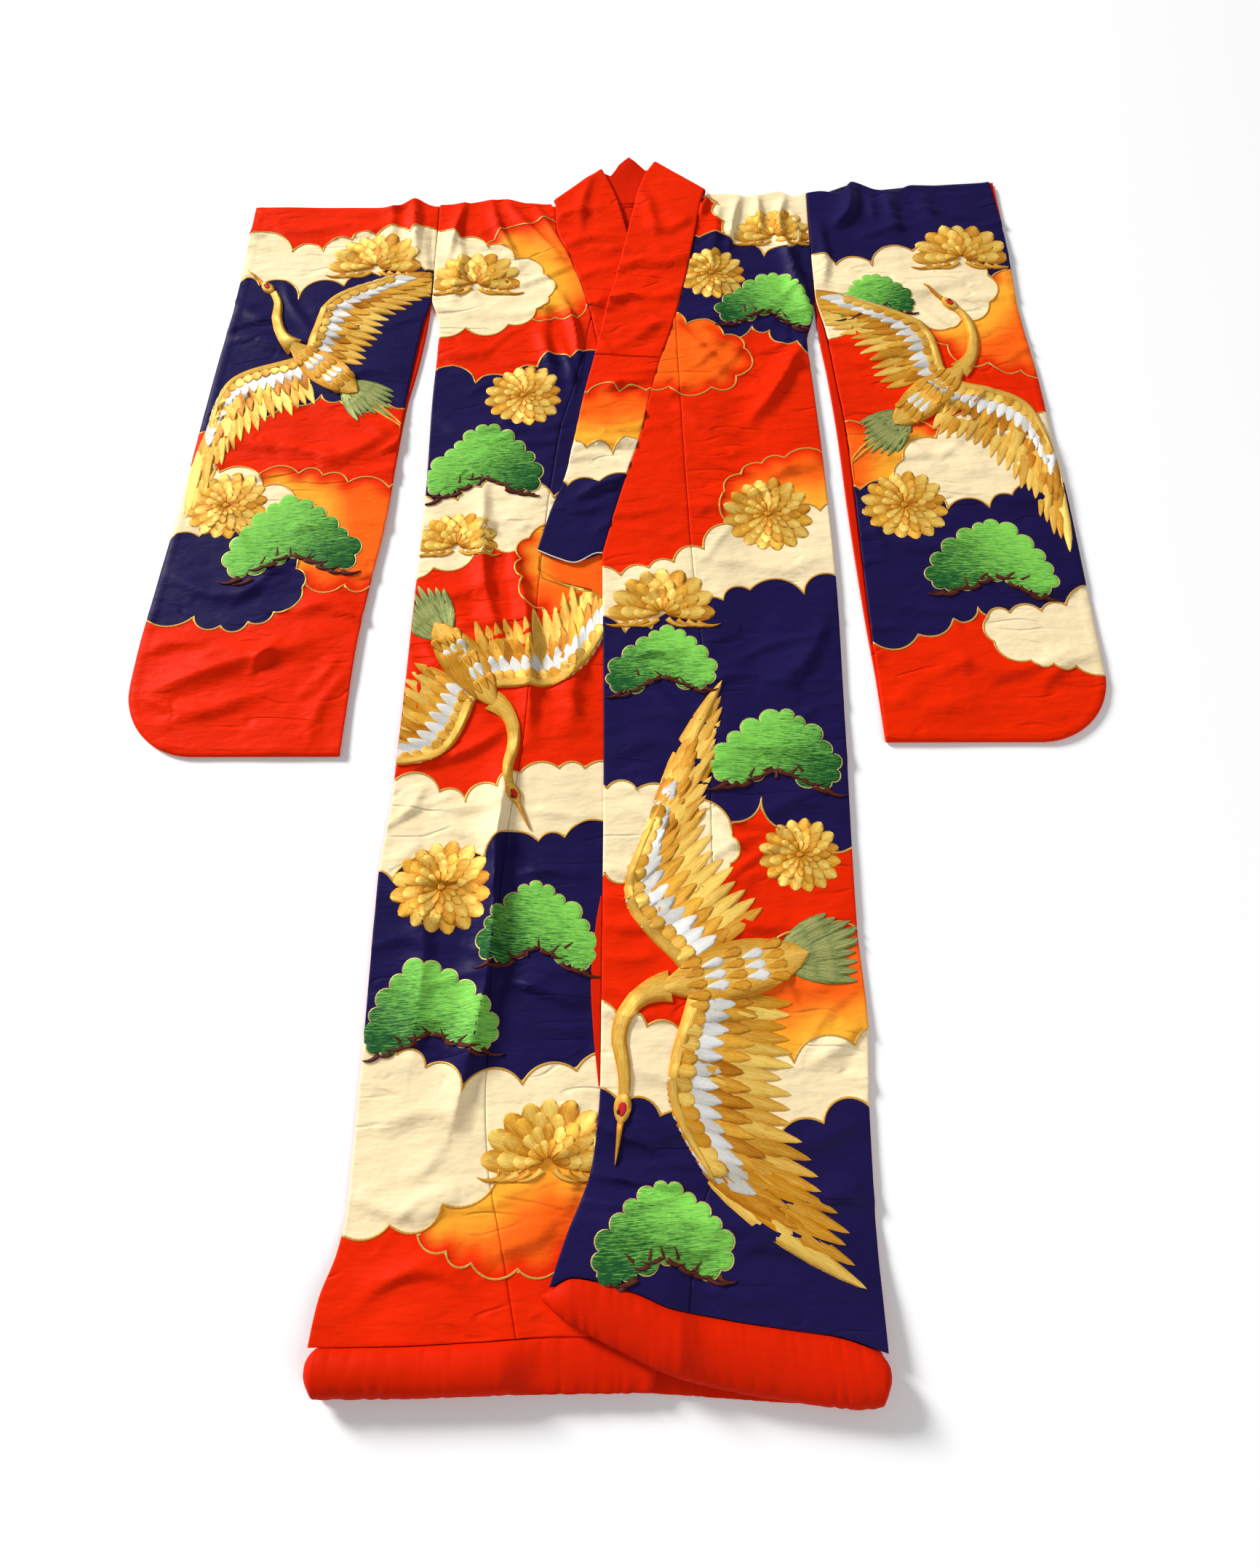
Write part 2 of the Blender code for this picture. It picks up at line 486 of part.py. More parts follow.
def sleeve(name, table, fold_table, finish):
    """A flat bag: closed along its top fold, outer seam and bottom, open at the rest."""
    sign = 1 if table[0][1] > 0 else -1
    inset, hollow = 0.0016, 0.0042
    first, last = table[0][0], table[-1][0]
    straight = SLEEVE_ROWS - CORNER_ROWS
    keys = [mix(first, last - SLEEVE_CORNER, i / straight) for i in range(straight)]
    turns = [pi / 2 * k / CORNER_ROWS for k in range(CORNER_ROWS + 1)]
    keys += [last - SLEEVE_CORNER * (1 - sin(turn)) for turn in turns]
    drawn_in = [0.0] * straight + [SLEEVE_CORNER * (1 - cos(turn)) for turn in turns]
    columns = SLEEVE_COLUMNS + 1
    outline = {"top": [], "bottom": []}
    for layer, column in (("top", 1), ("bottom", 2)):
        for key, cut in zip(keys, drawn_in):
            inner, outer = curve(table, key, column), curve(table, key, 3) - sign * cut
            outer_down = curve(table, key, 4)
            short = curve(table, key, 5) if layer == "top" else 0.0
            row = []
            for j in range(columns):
                t = j / SLEEVE_COLUMNS
                x = mix(inner, outer - sign * short, t)
                shift = shoulder_shift(x, inner, outer, key) if key < 0.3 else 0.0
                row.append((x, mix(key, outer_down, t) - shift))
            outline[layer].append(row)

    rim = [(0, j) for j in range(columns)]
    rim += [(i, columns - 1) for i in range(1, SLEEVE_ROWS + 1)]
    rim += [(SLEEVE_ROWS, j) for j in range(columns - 2, -1, -1)]
    rim += [(i, 0) for i in range(SLEEVE_ROWS - 1, 0, -1)]

    def closed(a, b):
        if a[1] == b[1] == 0:
            return False
        wrist = a[1] == b[1] == columns - 1
        return not (wrist and keys[max(a[0], b[0])] < WRIST_OPENING)

    shut = {}
    for k, here in enumerate(rim):
        shut[here] = (closed(rim[k - 1], here), closed(here, rim[(k + 1) % len(rim)]))

    def inward(layer, here):
        """Direction into the bag across the closed edges that meet at a rim point."""
        k = rim.index(here)
        rows = outline[layer]
        total = Vector((0, 0))
        for a, b in ((rim[k - 1], here), (here, rim[(k + 1) % len(rim)])):
            if closed(a, b):
                run = Vector(rows[b[0]][b[1]]) - Vector(rows[a[0]][a[1]])
                total += Vector((-run.y, run.x)).normalized() * sign
        return total.normalized()

    points, index = [], {}

    def add(key, x, down, z):
        index[key] = len(points)
        points.append(place(x, down, z))

    for i in range(SLEEVE_ROWS + 1):
        for j in range(columns):
            at_rim = (i, j) in shut
            for layer in ("top", "bottom"):
                x, down = outline[layer][i][j]
                height = 2 * CLOTH + 2 * GAP + folds(fold_table, x, down)
                if at_rim and any(shut[i, j]):
                    turn = inward(layer, (i, j))
                    if layer == "bottom":
                        add(("edge", i, j), x, down, height / 2)
                    dx, dy = turn * inset
                    ex, ey = turn * hollow
                else:
                    dx = dy = ex = ey = 0.0
                outside = height if layer == "top" else 0.0
                inside = height - CLOTH if layer == "top" else CLOTH
                add((layer, i, j), x + dx, down + dy, outside)
                add((layer + " inside", i, j), x + ex, down + ey, inside)

    faces = []
    for i in range(SLEEVE_ROWS):
        for j in range(columns - 1):
            for layer in ("top", "bottom", "top inside", "bottom inside"):
                faces.append([index[layer, i + a, j + b]
                              for a, b in ((0, 0), (0, 1), (1, 1), (1, 0))])
    for k, a in enumerate(rim):
        b = rim[(k + 1) % len(rim)]
        if closed(a, b):
            joined = (("top", "edge"), ("edge", "bottom"), ("top inside", "bottom inside"))
        else:
            joined = (("top", "top inside"), ("bottom", "bottom inside"))
        for one, other in joined:
            faces.append([index[(one,) + a], index[(one,) + b],
                          index[(other,) + b], index[(other,) + a]])
        if shut[a][0] != shut[a][1]:
            faces.append([index[(part,) + a] for part in
                          ("top", "edge", "bottom", "bottom inside", "top inside")])
    return solid(name, points, faces, finish)


def strip(name, rows, z, thickness, finish):
    """A narrow piece of lining, from rows of (down, x, other x)."""
    sheet = [flat_row([(mix(a, b, j / 2), down) for j in range(3)], z, thickness=thickness)
             for down, a, b in rows]
    return wall(name, sheet, thickness, finish)


# Hem rolls, from the wearer's right: x, lower edge's down, underside, fullness
OVER_BACK_ROLL = BACK_ROLL + GAP
OVER_RIGHT_ROLL = OVER_BACK_ROLL + HEM_ROLL + GAP
BACK_HEM = [(-0.352, 1.853, 0.0, 0.75), (-0.343, 1.857, 0.0, 1.0), (-0.255, 1.854, 0.0, 1.0),
            (0.000, 1.849, 0.0, 1.0), (0.206, 1.859, 0.0, 1.0), (0.298, 1.861, 0.0, 1.0),
            (0.310, 1.852, 0.0, 0.75)]
RIGHT_FRONT_HEM = [(-0.3575, 1.850, OVER_BACK_ROLL, 0.60), (-0.345, 1.856, OVER_BACK_ROLL, 1.0),
                   (-0.255, 1.855, OVER_BACK_ROLL, 1.0), (-0.100, 1.850, OVER_BACK_ROLL, 1.0),
                   (0.034, 1.848, OVER_BACK_ROLL, 1.0), (0.0465, 1.846, OVER_BACK_ROLL, 0.70)]
LEFT_FRONT_HEM = [(-0.086, 1.758, OVER_RIGHT_ROLL, 0.45), (-0.068, 1.768, OVER_RIGHT_ROLL, 0.96),
                  (-0.050, 1.779, OVER_RIGHT_ROLL, 1.0), (0.002, 1.803, OVER_RIGHT_ROLL, 1.0),
                  (0.052, 1.825, OVER_RIGHT_ROLL, 1.0), (0.110, 1.842, OVER_BACK_ROLL, 1.0),
                  (0.206, 1.857, OVER_BACK_ROLL, 1.0), (0.285, 1.864, OVER_BACK_ROLL, 1.0),
                  (0.302, 1.862, OVER_BACK_ROLL, 0.95), (0.3135, 1.850, OVER_BACK_ROLL, 0.60)]
# The left front's lining that rolls out at its free edge: down, edge x, outer x
EDGE_LINING = [(1.262, -0.0226, -0.0245), (1.300, -0.0226, -0.0305), (1.375, -0.0226, -0.0360),
               (1.440, -0.0226, -0.0320), (1.508, -0.0228, -0.0245)]
FURI_GAP = 0.0010       # between a sleeve's lining and the edges beside it

# Section of a hem roll: across (-1 at its seam, 1 at its lower edge), height (-1 to 1)
ROLL_SECTION = [(-1.00, 0.00), (-0.90, 0.70), (-0.55, 1.00), (0.45, 1.00), (0.85, 0.68),
                (1.00, 0.00), (0.85, -0.70), (0.45, -1.00), (-0.55, -1.00), (-0.90, -0.70)]


def hem_line(free_x, seam_x, side_x, hem):
    """The corners of a front's lower edge, from its free edge to its side."""
    across = [mix(free_x, seam_x, j / OVERLAP_COLUMNS) for j in range(OVERLAP_COLUMNS)]
    across += [mix(seam_x, side_x, j / BODY_COLUMNS) for j in range(BODY_COLUMNS + 1)]
    return [(x, curve(hem, x, 1)) for x in across]


def hem_roll(name, seam, table, height, finish):
    """A padded roll along a hem seam, from rows of x, lower edge, underside, fullness."""
    seam = sorted(seam)
    seam = [(table[0][0], seam[0][1])] + seam + [(table[-1][0], seam[-1][1])]
    stations = [seam[0]]
    for here, ahead in zip(seam, seam[1:]):
        stations.append((mix(here[0], ahead[0], 0.5), mix(here[1], ahead[1], 0.5)))
        stations.append(ahead)
    points, faces = [], []
    count = len(ROLL_SECTION)
    for x, top in stations:
        lower, under, full = (curve(table, x, column) for column in (1, 2, 3))
        for across, up in ROLL_SECTION:
            down = mix(top, lower, 0.5 + 0.5 * across * full)
            points.append(place(x, down, under + height / 2 * (1 + up * full)))
    for i in range(len(stations) - 1):
        for k in range(count):
            a, b = i * count + k, i * count + (k + 1) % count
            faces.append((a, b, b + count, a + count))
    faces.append(list(range(count)))
    faces.append(list(range(len(points) - count, len(points))))
    return solid(name, points, faces, finish)


def main():
    for old in list(bpy.data.objects):
        bpy.data.objects.remove(old, do_unlink=True)
    satin = material("figured_satin", RED)
    lining = material("lining_satin", LINING_RED)

    middle = NECKLINE.index((0.0, 0.0220))
    body("right_body", RIGHT_SIDE, RIGHT_COLLAR_SEAM, RIGHT_OVERLAP_SEAM, RIGHT_HEM,
         right_level, right_relief, NECKLINE[:middle - 1:-1], satin)
    body("left_body", LEFT_SIDE, LEFT_COLLAR_SEAM, LEFT_OVERLAP_SEAM, LEFT_HEM,
         left_level, left_relief, NECKLINE[:middle + 1], satin)
    overlap("right_overlap", RIGHT_COLLAR_SEAM, RIGHT_FREE_EDGE, RIGHT_OVERLAP_SEAM,
            RIGHT_HEM, right_level, right_relief, satin)
    overlap("left_overlap", LEFT_COLLAR_SEAM, LEFT_FREE_EDGE, LEFT_OVERLAP_SEAM,
            LEFT_HEM, left_level, left_relief, satin)
    over_collar(satin)
    collar_end("left_collar", LEFT_COLLAR_SEAM, LEFT_COLLAR, left_collar_level, satin)
    collar_end("right_collar", RIGHT_COLLAR_SEAM, RIGHT_COLLAR, right_collar_level, satin)
    neck_lining(lining)
    sleeve("right_sleeve", RIGHT_SLEEVE, RIGHT_SLEEVE_FOLDS, satin)
    sleeve("left_sleeve", LEFT_SLEEVE, LEFT_SLEEVE_FOLDS, satin)

    on_back = CLOTH + GAP
    for name, table, sign, downs in (
            ("right_sleeve_lining", RIGHT_SLEEVE, 1, (0.250, 0.280, 0.320, 0.360, 0.400, 0.425)),
            ("left_sleeve_lining", LEFT_SLEEVE, -1,
             (0.245, 0.270, 0.300, 0.345, 0.392, 0.450, 0.510, 0.580, 0.650, 0.750, 0.850, 0.880))):
        rows = [(down, curve(table, down, 1) + sign * FURI_GAP,
                 curve(table, down, 2) - sign * FURI_GAP) for down in downs]
        strip(name, rows, on_back, LINING, lining)
    cuff = []
    for key in (0.000, 0.030, 0.060, 0.085):
        outer, down, short = (curve(LEFT_SLEEVE, key, column) for column in (3, 4, 5))
        cuff.append((down, outer - short + FURI_GAP, outer - FURI_GAP / 2))
    strip("left_cuff_lining", cuff, on_back, LINING, lining)
    strip("front_edge_lining", EDGE_LINING, FRONT_LEVEL + OVERLAP_RISE_LOW, LINING, lining)

    back = [(mix(RIGHT_SIDE[-1][1], LEFT_SIDE[-1][1], j / 12), HEM) for j in range(1, 12)]
    hem_roll("back_hem", back, BACK_HEM, BACK_ROLL, lining)
    for name, free_edge, seam, side, hem, table in (
            ("right_front_hem", RIGHT_FREE_EDGE, RIGHT_OVERLAP_SEAM, RIGHT_SIDE, RIGHT_HEM,
             RIGHT_FRONT_HEM),
            ("left_front_hem", LEFT_FREE_EDGE, LEFT_OVERLAP_SEAM, LEFT_SIDE, LEFT_HEM,
             LEFT_FRONT_HEM)):
        line = hem_line(free_edge[-1][1], seam[-1][1], side[-1][1], hem)
        hem_roll(name, line, table, HEM_ROLL, lining)


main()
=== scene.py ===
"""Uchikake, a bride's padded silk over-kimono, laid out flat with its front up.

Frame: metres, +X to the wearer's left, +Y towards the neck, +Z up. In the tables, x is
measured from the centre-back seam and down from the shoulder line towards the hem.
"""
from functools import cache
from math import cos, pi, radians, sin

import bpy
import numpy as np
from mathutils import Matrix, Vector


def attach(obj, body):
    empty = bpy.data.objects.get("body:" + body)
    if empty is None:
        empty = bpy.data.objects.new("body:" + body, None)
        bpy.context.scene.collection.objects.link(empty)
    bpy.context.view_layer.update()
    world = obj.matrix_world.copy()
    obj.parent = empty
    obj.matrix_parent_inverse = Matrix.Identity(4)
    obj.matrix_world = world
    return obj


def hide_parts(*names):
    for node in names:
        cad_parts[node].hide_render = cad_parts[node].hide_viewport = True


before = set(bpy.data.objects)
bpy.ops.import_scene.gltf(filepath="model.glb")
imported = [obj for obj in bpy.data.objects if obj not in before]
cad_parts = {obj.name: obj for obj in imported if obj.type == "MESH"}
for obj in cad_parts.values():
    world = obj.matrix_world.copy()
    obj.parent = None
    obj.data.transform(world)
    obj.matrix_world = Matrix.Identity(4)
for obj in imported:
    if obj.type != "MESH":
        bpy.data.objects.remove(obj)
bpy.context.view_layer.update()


# The dyed ground: cloud shapes divide the scarlet cloth into navy, cream and shaded orange
# places. Each is a closed line of uneven scallops, and later ones lie over earlier ones.
# Past the shoulder fold the places go on down the back, where down is negative.
DYES = ("navy", "cream", "amber", "red")
LOBE_BULGE = 0.30       # how far a lobe stands out, of its width
LOBE_STEP = 0.0033      # between the points of a lobe
REACH = 0.06            # depths in a dye are cut off here
CLOUDS = {      # each one's dye, width of its lobes, and x, down round it, in centimetres
    "left": (
        ("cream", 6, 17, -10, 26, -14, 38, -6, 38, 10, 29, 15, 22, 11, 17, 5),
        ("navy", 5.5, 2, 14, 16, 10, 23, 14, 30, 13, 40, 16, 40, 34, 30, 33, 22, 29, 14, 31,
         4, 27),
        ("amber", 5, 2, 27, 13, 30, 20, 34, 17, 41, 8, 42, 0, 37),
        ("amber", 5.2, 16, 62, 24, 56, 40, 57, 40, 72, 28, 73, 18, 69),
        ("cream", 5.8, -14, 80, 0, 77, 10, 74, 22, 67, 40, 66, 40, 80, 26, 84, 12, 88, -2, 90,
         -14, 92),
        ("navy", 6.2, -14, 88, -2, 87, 8, 85, 20, 79, 28, 80, 40, 77, 40, 116, 28, 118, 19, 112,
         8, 117, -14, 114),
        ("cream", 5.6, -14, 113, 0, 111, 10, 114, 16, 120, 8, 126, -2, 123, -14, 124),
        ("amber", 5.4, 10, 139, 20, 133, 40, 134, 40, 152, 26, 152, 14, 148),
        ("cream", 5.8, -14, 145, -1, 142, 9, 146, 22, 148, 40, 144, 40, 158, 24, 160, 10, 158,
         -14, 158),
        ("navy", 6.4, -20, 156, -2, 153, 7, 155, 16, 158, 27, 155, 42, 154, 42, 190, -20, 190),
    ),
    "right": (
        ("amber", 5.2, -22, 10, -14, 7, -5, 12, -4, 22, -12, 27, -21, 21),
        ("cream", 5.6, -40, 11, -30, 9, -19, 14, -12, 20, -16, 27, -25, 29, -40, 27),
        ("navy", 6, -40, 42, -29, 38, -20, 42, -10, 36, 10, 38, 10, 62, -6, 64, -17, 60, -27, 66,
         -40, 64),
        ("cream", 5.6, -40, 62, -28, 64, -19, 60, -8, 63, 10, 60, 10, 72, -6, 73, -16, 70,
         -27, 75, -40, 73),
        ("amber", 5.4, -14, 70, -5, 68, 8, 70, 8, 84, -6, 85, -14, 79),
        ("cream", 5.8, -42, 117, -30, 110, -20, 113, -12, 108, 10, 110, 10, 122, -8, 122,
         -22, 126, -42, 128),
        ("navy", 6.2, -42, 127, -30, 124, -18, 121, -8, 118, 10, 119, 10, 150, -5, 149, -16, 153,
         -28, 146, -42, 150),
        ("amber", 5.6, -24, 158, -14, 154, 12, 153, 12, 168, -2, 169, -14, 172, -24, 167),
        ("cream", 5.8, -42, 148, -28, 147, -18, 152, -6, 149, 10, 150, 4, 157, -8, 158, -17, 162,
         -27, 167, -42, 164),
    ),
    "left_sleeve": (
        ("navy", 6, 30, -30, 72, -30, 72, 16, 60, 19, 50, 14, 41, 19, 30, 16),
        ("amber", 5.2, 50, 22, 60, 19, 74, 22, 74, 38, 62, 38, 53, 33),
        ("cream", 5.6, 30, 15, 40, 17, 50, 13, 60, 17, 62, 23, 54, 29, 43, 27, 30, 31),
        ("amber", 5.2, 30, 53, 42, 49, 54, 53, 55, 62, 42, 66, 30, 64),
        ("cream", 5.6, 44, 56, 56, 50, 76, 51, 76, 68, 60, 67, 48, 66),
        ("navy", 6, 30, 64, 42, 62, 53, 66, 63, 62, 76, 64, 76, 82, 63, 86, 54, 82, 43, 87,
         30, 84),
        ("cream", 5.4, 54, 84, 62, 83, 76, 80, 76, 89, 66, 92, 56, 90),
    ),
    "right_sleeve": (
        ("cream", 5.6, -76, 10, -64, 9, -54, 13, -44, 9, -28, 10, -28, 21, -42, 20, -53, 24,
         -64, 19, -76, 22),
        ("navy", 6, -76, 21, -64, 19, -54, 23, -42, 18, -28, 19, -28, 40, -41, 45, -52, 42,
         -62, 48, -76, 47),
        ("amber", 5.2, -60, 62, -50, 58, -38, 61, -28, 60, -28, 76, -42, 78, -54, 74),
        ("cream", 5.6, -78, 60, -68, 57, -57, 60, -47, 66, -50, 72, -60, 71, -68, 75, -78, 73),
        ("navy", 5.6, -80, 72, -70, 71, -60, 69, -51, 73, -48, 80, -58, 85, -68, 82, -80, 86),
    ),
    "left_collar": (
        ("amber", 4.8, -16, 46, -4, 43, 10, 44, 8, 54, -4, 57, -16, 55),
        ("cream", 4.6, -20, 55, -9, 53, 0, 55, 6, 51, 10, 60, 0, 62, -10, 63, -20, 62),
        ("navy", 5, -22, 63, -10, 61, 0, 60, 10, 56, 10, 85, -22, 85),
    ),
    "plain": (),
}


def spline(a, b, c, d, steps):
    """Points from b on towards c, on a smooth curve that comes from a and goes on to d."""
    t = np.linspace(0, 1, steps, endpoint=False)[:, None]
    return 0.5 * (2 * b + (c - a) * t + (2 * a - 5 * b + 4 * c - d) * t * t
                  + (3 * b - a - 3 * c + d) * t ** 3)


def ring(points, step=0.012):
    """A closed smooth line through points."""
    corners = [np.roll(points, 1 - k, axis=0)[:4] for k in range(len(points))]
    return np.vstack([spline(*four, max(3, int(np.linalg.norm(four[2] - four[1]) / step)))
                      for four in corners])


def distance_along(line):
    return np.concatenate(([0], np.cumsum(np.linalg.norm(np.diff(line, axis=0), axis=1))))


def scallops(points, lobe, bulge, seed, spread=0.45):
    """A closed line of lobes of uneven width round a smooth ring."""
    rng = np.random.default_rng(seed)
    line = ring(points)
    line = np.vstack((line, line[:1]))
    along = distance_along(line)
    widths = rng.uniform(1 - spread, 1 + spread, max(3, round(along[-1] / lobe)))
    stops = np.concatenate(([0], np.cumsum(widths))) / widths.sum() * along[-1]
    cusps = np.stack([np.interp(stops, along, axis) for axis in line.T], -1)
    area = np.sum(line[:-1, 0] * line[1:, 1] - line[1:, 0] * line[:-1, 1])
    lobes = []
    for a, b in zip(cusps, cusps[1:]):
        chord = b - a
        wide = np.hypot(*chord)
        out = np.array((chord[1], -chord[0])) * np.sign(area)
        half_turn = 2 * np.arctan(2 * bulge * rng.uniform(0.8, 1.2))
        turn = np.linspace(-half_turn, half_turn, max(6, int(wide / LOBE_STEP)), endpoint=False)
        turn = turn[:, None]
        lobes.append(a + chord * (0.5 + np.sin(turn) / sin(half_turn) / 2)
                     + out * (np.cos(turn) - cos(half_turn)) / sin(half_turn) / 2)
    return np.vstack(lobes)


def within(box, x, down):
    return (x > box[0]) & (x < box[2]) & (down > box[1]) & (down < box[3])


def box_round(line, reach):
    return np.concatenate((line.min(0) - reach, line.max(0) + reach))


def beside(line, x, down):
    """Of points against each stretch of a line: offsets, run, part passed and distance."""
    run = np.diff(line, axis=0)
    off_x, off_down = x[:, None] - line[:-1, 0], down[:, None] - line[:-1, 1]
    square = np.maximum((run ** 2).sum(1), 1e-12)
    t = np.clip((off_x * run[:, 0] + off_down * run[:, 1]) / square, 0, 1)
    return off_x, off_down, run, t, np.hypot(off_x - t * run[:, 0], off_down - t * run[:, 1])


def depth_in(line, x, down, reach=REACH):
    """Signed distance into a closed line, cut off at a reach."""
    depth = np.full(x.shape, -reach)
    near = np.flatnonzero(within(box_round(line, reach), x, down))
    line = np.vstack((line, line[:1]))
    for part in np.array_split(near, max(1, len(near) // 4000)):
        off_x, off_down, run, t, far = beside(line, x[part], down[part])
        below = line[:, 1] > down[part][:, None]
        slant = run[:, 0] / np.where(run[:, 1] == 0, 1, run[:, 1])
        hit = (below[:, :-1] != below[:, 1:]) & (off_x < slant * off_down)
        depth[part] = np.minimum(far.min(1), reach) * np.where(hit.sum(1) % 2, 1, -1)
    return depth


for number, (group, clouds) in enumerate(CLOUDS.items(), 1):
    CLOUDS[group] = [(dye, scallops(np.reshape(points, (-1, 2)) / 100, lobe / 100, LOBE_BULGE,
                                    100 * number + k))
                     for k, (dye, lobe, *points) in enumerate(clouds)]


def dyed(group, x, down):
    """How deep each point lies in each dye, below 0 outside it."""
    depth = {dye: np.full(x.shape, REACH if dye == "red" else -REACH) for dye in DYES}
    for dye, line in CLOUDS[group]:
        inside = depth_in(line, x, down)
        for other in DYES:
            depth[other] = (np.maximum(depth[dye], inside) if other == dye
                            else np.minimum(depth[other], -inside))
    return depth


# Outer cloth and lining: silk satin with a fine weft that runs across each length, slightly uneven
# in thickness, so it shines in soft streaks. The linings are plain vermilion: their own deeper red,
# and painted shade as well, darker than the outer scarlet, most of all for the hem rolls.
class Wire:
    """A node's output. Arithmetic on it adds Math nodes."""

    def __init__(self, nodes, socket):
        self.nodes, self.socket = nodes, socket

    def math(self, operation, *values):
        return self.nodes.node("ShaderNodeMath", {"operation": operation}, *values)

    def __add__(self, other):
        return self.math("ADD", self, other)

    def __sub__(self, other):
        return self.math("SUBTRACT", self, other)

    def __rsub__(self, other):
        return self.math("SUBTRACT", other, self)

    def __mul__(self, other):
        return self.math("MULTIPLY", self, other)

    __radd__, __rmul__ = __add__, __mul__

    def step(self, low, high):
        """0 below low, 1 above high, with a soft step between."""
        return self.nodes.node("ShaderNodeMapRange", {"interpolation_type": "SMOOTHSTEP"},
                               self, low, high, 0.0, 1.0)


class Nodes:
    """A node tree, built node by node."""

    def put(self, socket, value):
        if isinstance(value, Wire):
            self.tree.links.new(value.socket, socket)
        elif isinstance(value, tuple) and socket.type == "RGBA":
            socket.default_value = (*value, 1.0)
        else:
            socket.default_value = value

    def node(self, kind, settings=None, *values, out=0, **named):
        """A node with its settings, its sockets' values or links, and one of its outputs."""
        made = self.tree.nodes.new(kind)
        for setting, value in (settings or {}).items():
            setattr(made, setting, value)
        for key, value in [*enumerate(values), *named.items()]:
            self.put(made.inputs[key.replace("_", " ") if key in named else key], value)
        return Wire(self, made.outputs[out])


class Recipe(Nodes):
    """A material: its shader's fixed values, and the nodes that lead to it."""

    def __init__(self, name, **fixed):
        self.material = bpy.data.materials.new(name)
        self.material.use_nodes = True
        self.tree = self.material.node_tree
        self.set(**fixed)

    def set(self, **values):
        for socket, value in values.items():
            self.put(self.tree.nodes["Principled BSDF"].inputs[socket.replace("_", " ")], value)

    def blend(self, factor, a, b):
        made = self.node("ShaderNodeMix", {"data_type": "RGBA"}, factor, out=2)
        for index, value in ((6, a), (7, b)):
            self.put(made.socket.node.inputs[index], value)
        return made

    def attribute(self, name):
        return self.node("ShaderNodeAttribute", {"attribute_name": name}, out=2)

    def noise(self, stretch, detail=2.0, where=None):
        """Noise from 0 to 1, its waves so many to the metre along each axis."""
        where = where or self.node("ShaderNodeTexCoord", out=3)
        scaled = self.node("ShaderNodeMapping", {}, where, Scale=stretch)
        return self.node("ShaderNodeTexNoise", {}, scaled, Scale=1.0, Detail=detail)

    def relief(self, height, depth, strength):
        """Bump of a given depth in metres from a height of 0 to 1."""
        self.set(Normal=self.node("ShaderNodeBump", Strength=strength, Distance=depth,
                                  Height=height))


def satin(recipe, colour, crumpling=(24.0, 52.0, 24.0), pinching=0.27):
    """The weft's slubs, the small crumples and the slight unevenness of silk on a colour."""
    slubs = recipe.noise((28.0, 900.0, 28.0))
    cloudy = recipe.noise((7.0, 9.0, 7.0))
    shade = slubs.step(0.30, 0.75) * 0.05 + cloudy.step(0.25, 0.75) * 0.10 + 0.89
    shaded = recipe.node("ShaderNodeVectorMath", {"operation": "SCALE"}, colour, Scale=shade)
    recipe.set(Base_Color=shaded, Roughness=0.44 + 0.12 * slubs)
    wander = recipe.noise((7.0, 24.0, 7.0), 1.0) - 0.5
    patchy = recipe.noise((9.0, 11.0, 9.0), 0.0).step(0.50, 0.62)
    pinched = (1 - wander.math("ABSOLUTE", wander).step(0.0, 0.045)) * patchy
    recipe.relief(slubs * 0.03 + recipe.noise(crumpling, 2.5) * 0.80 - pinched * pinching,
                  0.0050, 0.85)


FINISH = {"Specular_IOR_Level": 0.022, "Coat_Roughness": 0.42}
# The linings' vermilion is darker than the scarlet: partly the lining's own red, partly painted
# shade, chiefly for the hem rolls.
SCARLET, SHADE_DEEPENED_VERMILION = (0.77, 0.020, 0.001), (0.66, 0.016, 0.001)
NAVY, CREAM = (0.0118, 0.0076, 0.060), (0.93, 0.76, 0.46)
ORANGE, YELLOW, GOLD = (0.98, 0.125, 0.008), (0.96, 0.40, 0.030), (0.80, 0.50, 0.13)
SOFT = 0.0004       # half the width of a dye's edge
figured = Recipe("figured_satin", **FINISH)
navy, cream, amber, red = (figured.attribute(dye) for dye in DYES)
glow = figured.blend(cream.step(-0.058, -0.006), ORANGE, YELLOW)
glow = figured.blend(red.step(-0.030, 0.0), glow, SCARLET)
nearest = navy.math("MAXIMUM", navy.math("MAXIMUM", navy, cream),
                    amber.math("MAXIMUM", amber, red))
ground = SCARLET
# Where the lining shows, its darker vermilion is the lining's own red with painted shade in it.
for place_of, colour in ((amber.step(-SOFT, SOFT), glow), (cream.step(-SOFT, SOFT), CREAM),
                         (navy.step(-SOFT, SOFT), NAVY),
                         (1 - nearest.step(0.0009, 0.0013), GOLD),
                         (figured.attribute("lining"), SHADE_DEEPENED_VERMILION)):
    ground = figured.blend(place_of, ground, colour)
satin(figured, ground)
figured.set(Coat_Weight=0.05 * navy.step(-SOFT, SOFT))

# The lining's colours are darker than the outer cloth: their own red with painted shade, most of
# all on the hem rolls.
lining = Recipe("lining_satin", **FINISH)
satin(lining, lining.blend(lining.noise((3.0, 3.0, 3.0)), SHADE_DEEPENED_VERMILION, (0.61, 0.013, 0.001)),
      crumpling=(20.0, 13.0, 13.0), pinching=0.0)


# The body: two lengths of heavy satin, interlined and lined, so that each layer is one wall
# 3 mm thick with rounded edges. Each runs from the front hem over the shoulder to the back
# hem, with a narrower strip sewn to its front edge. The layers lie one on another.
def table(width, *millimetres):
    """Rows of a width, in metres."""
    return np.reshape(millimetres, (-1, width)) / 1000


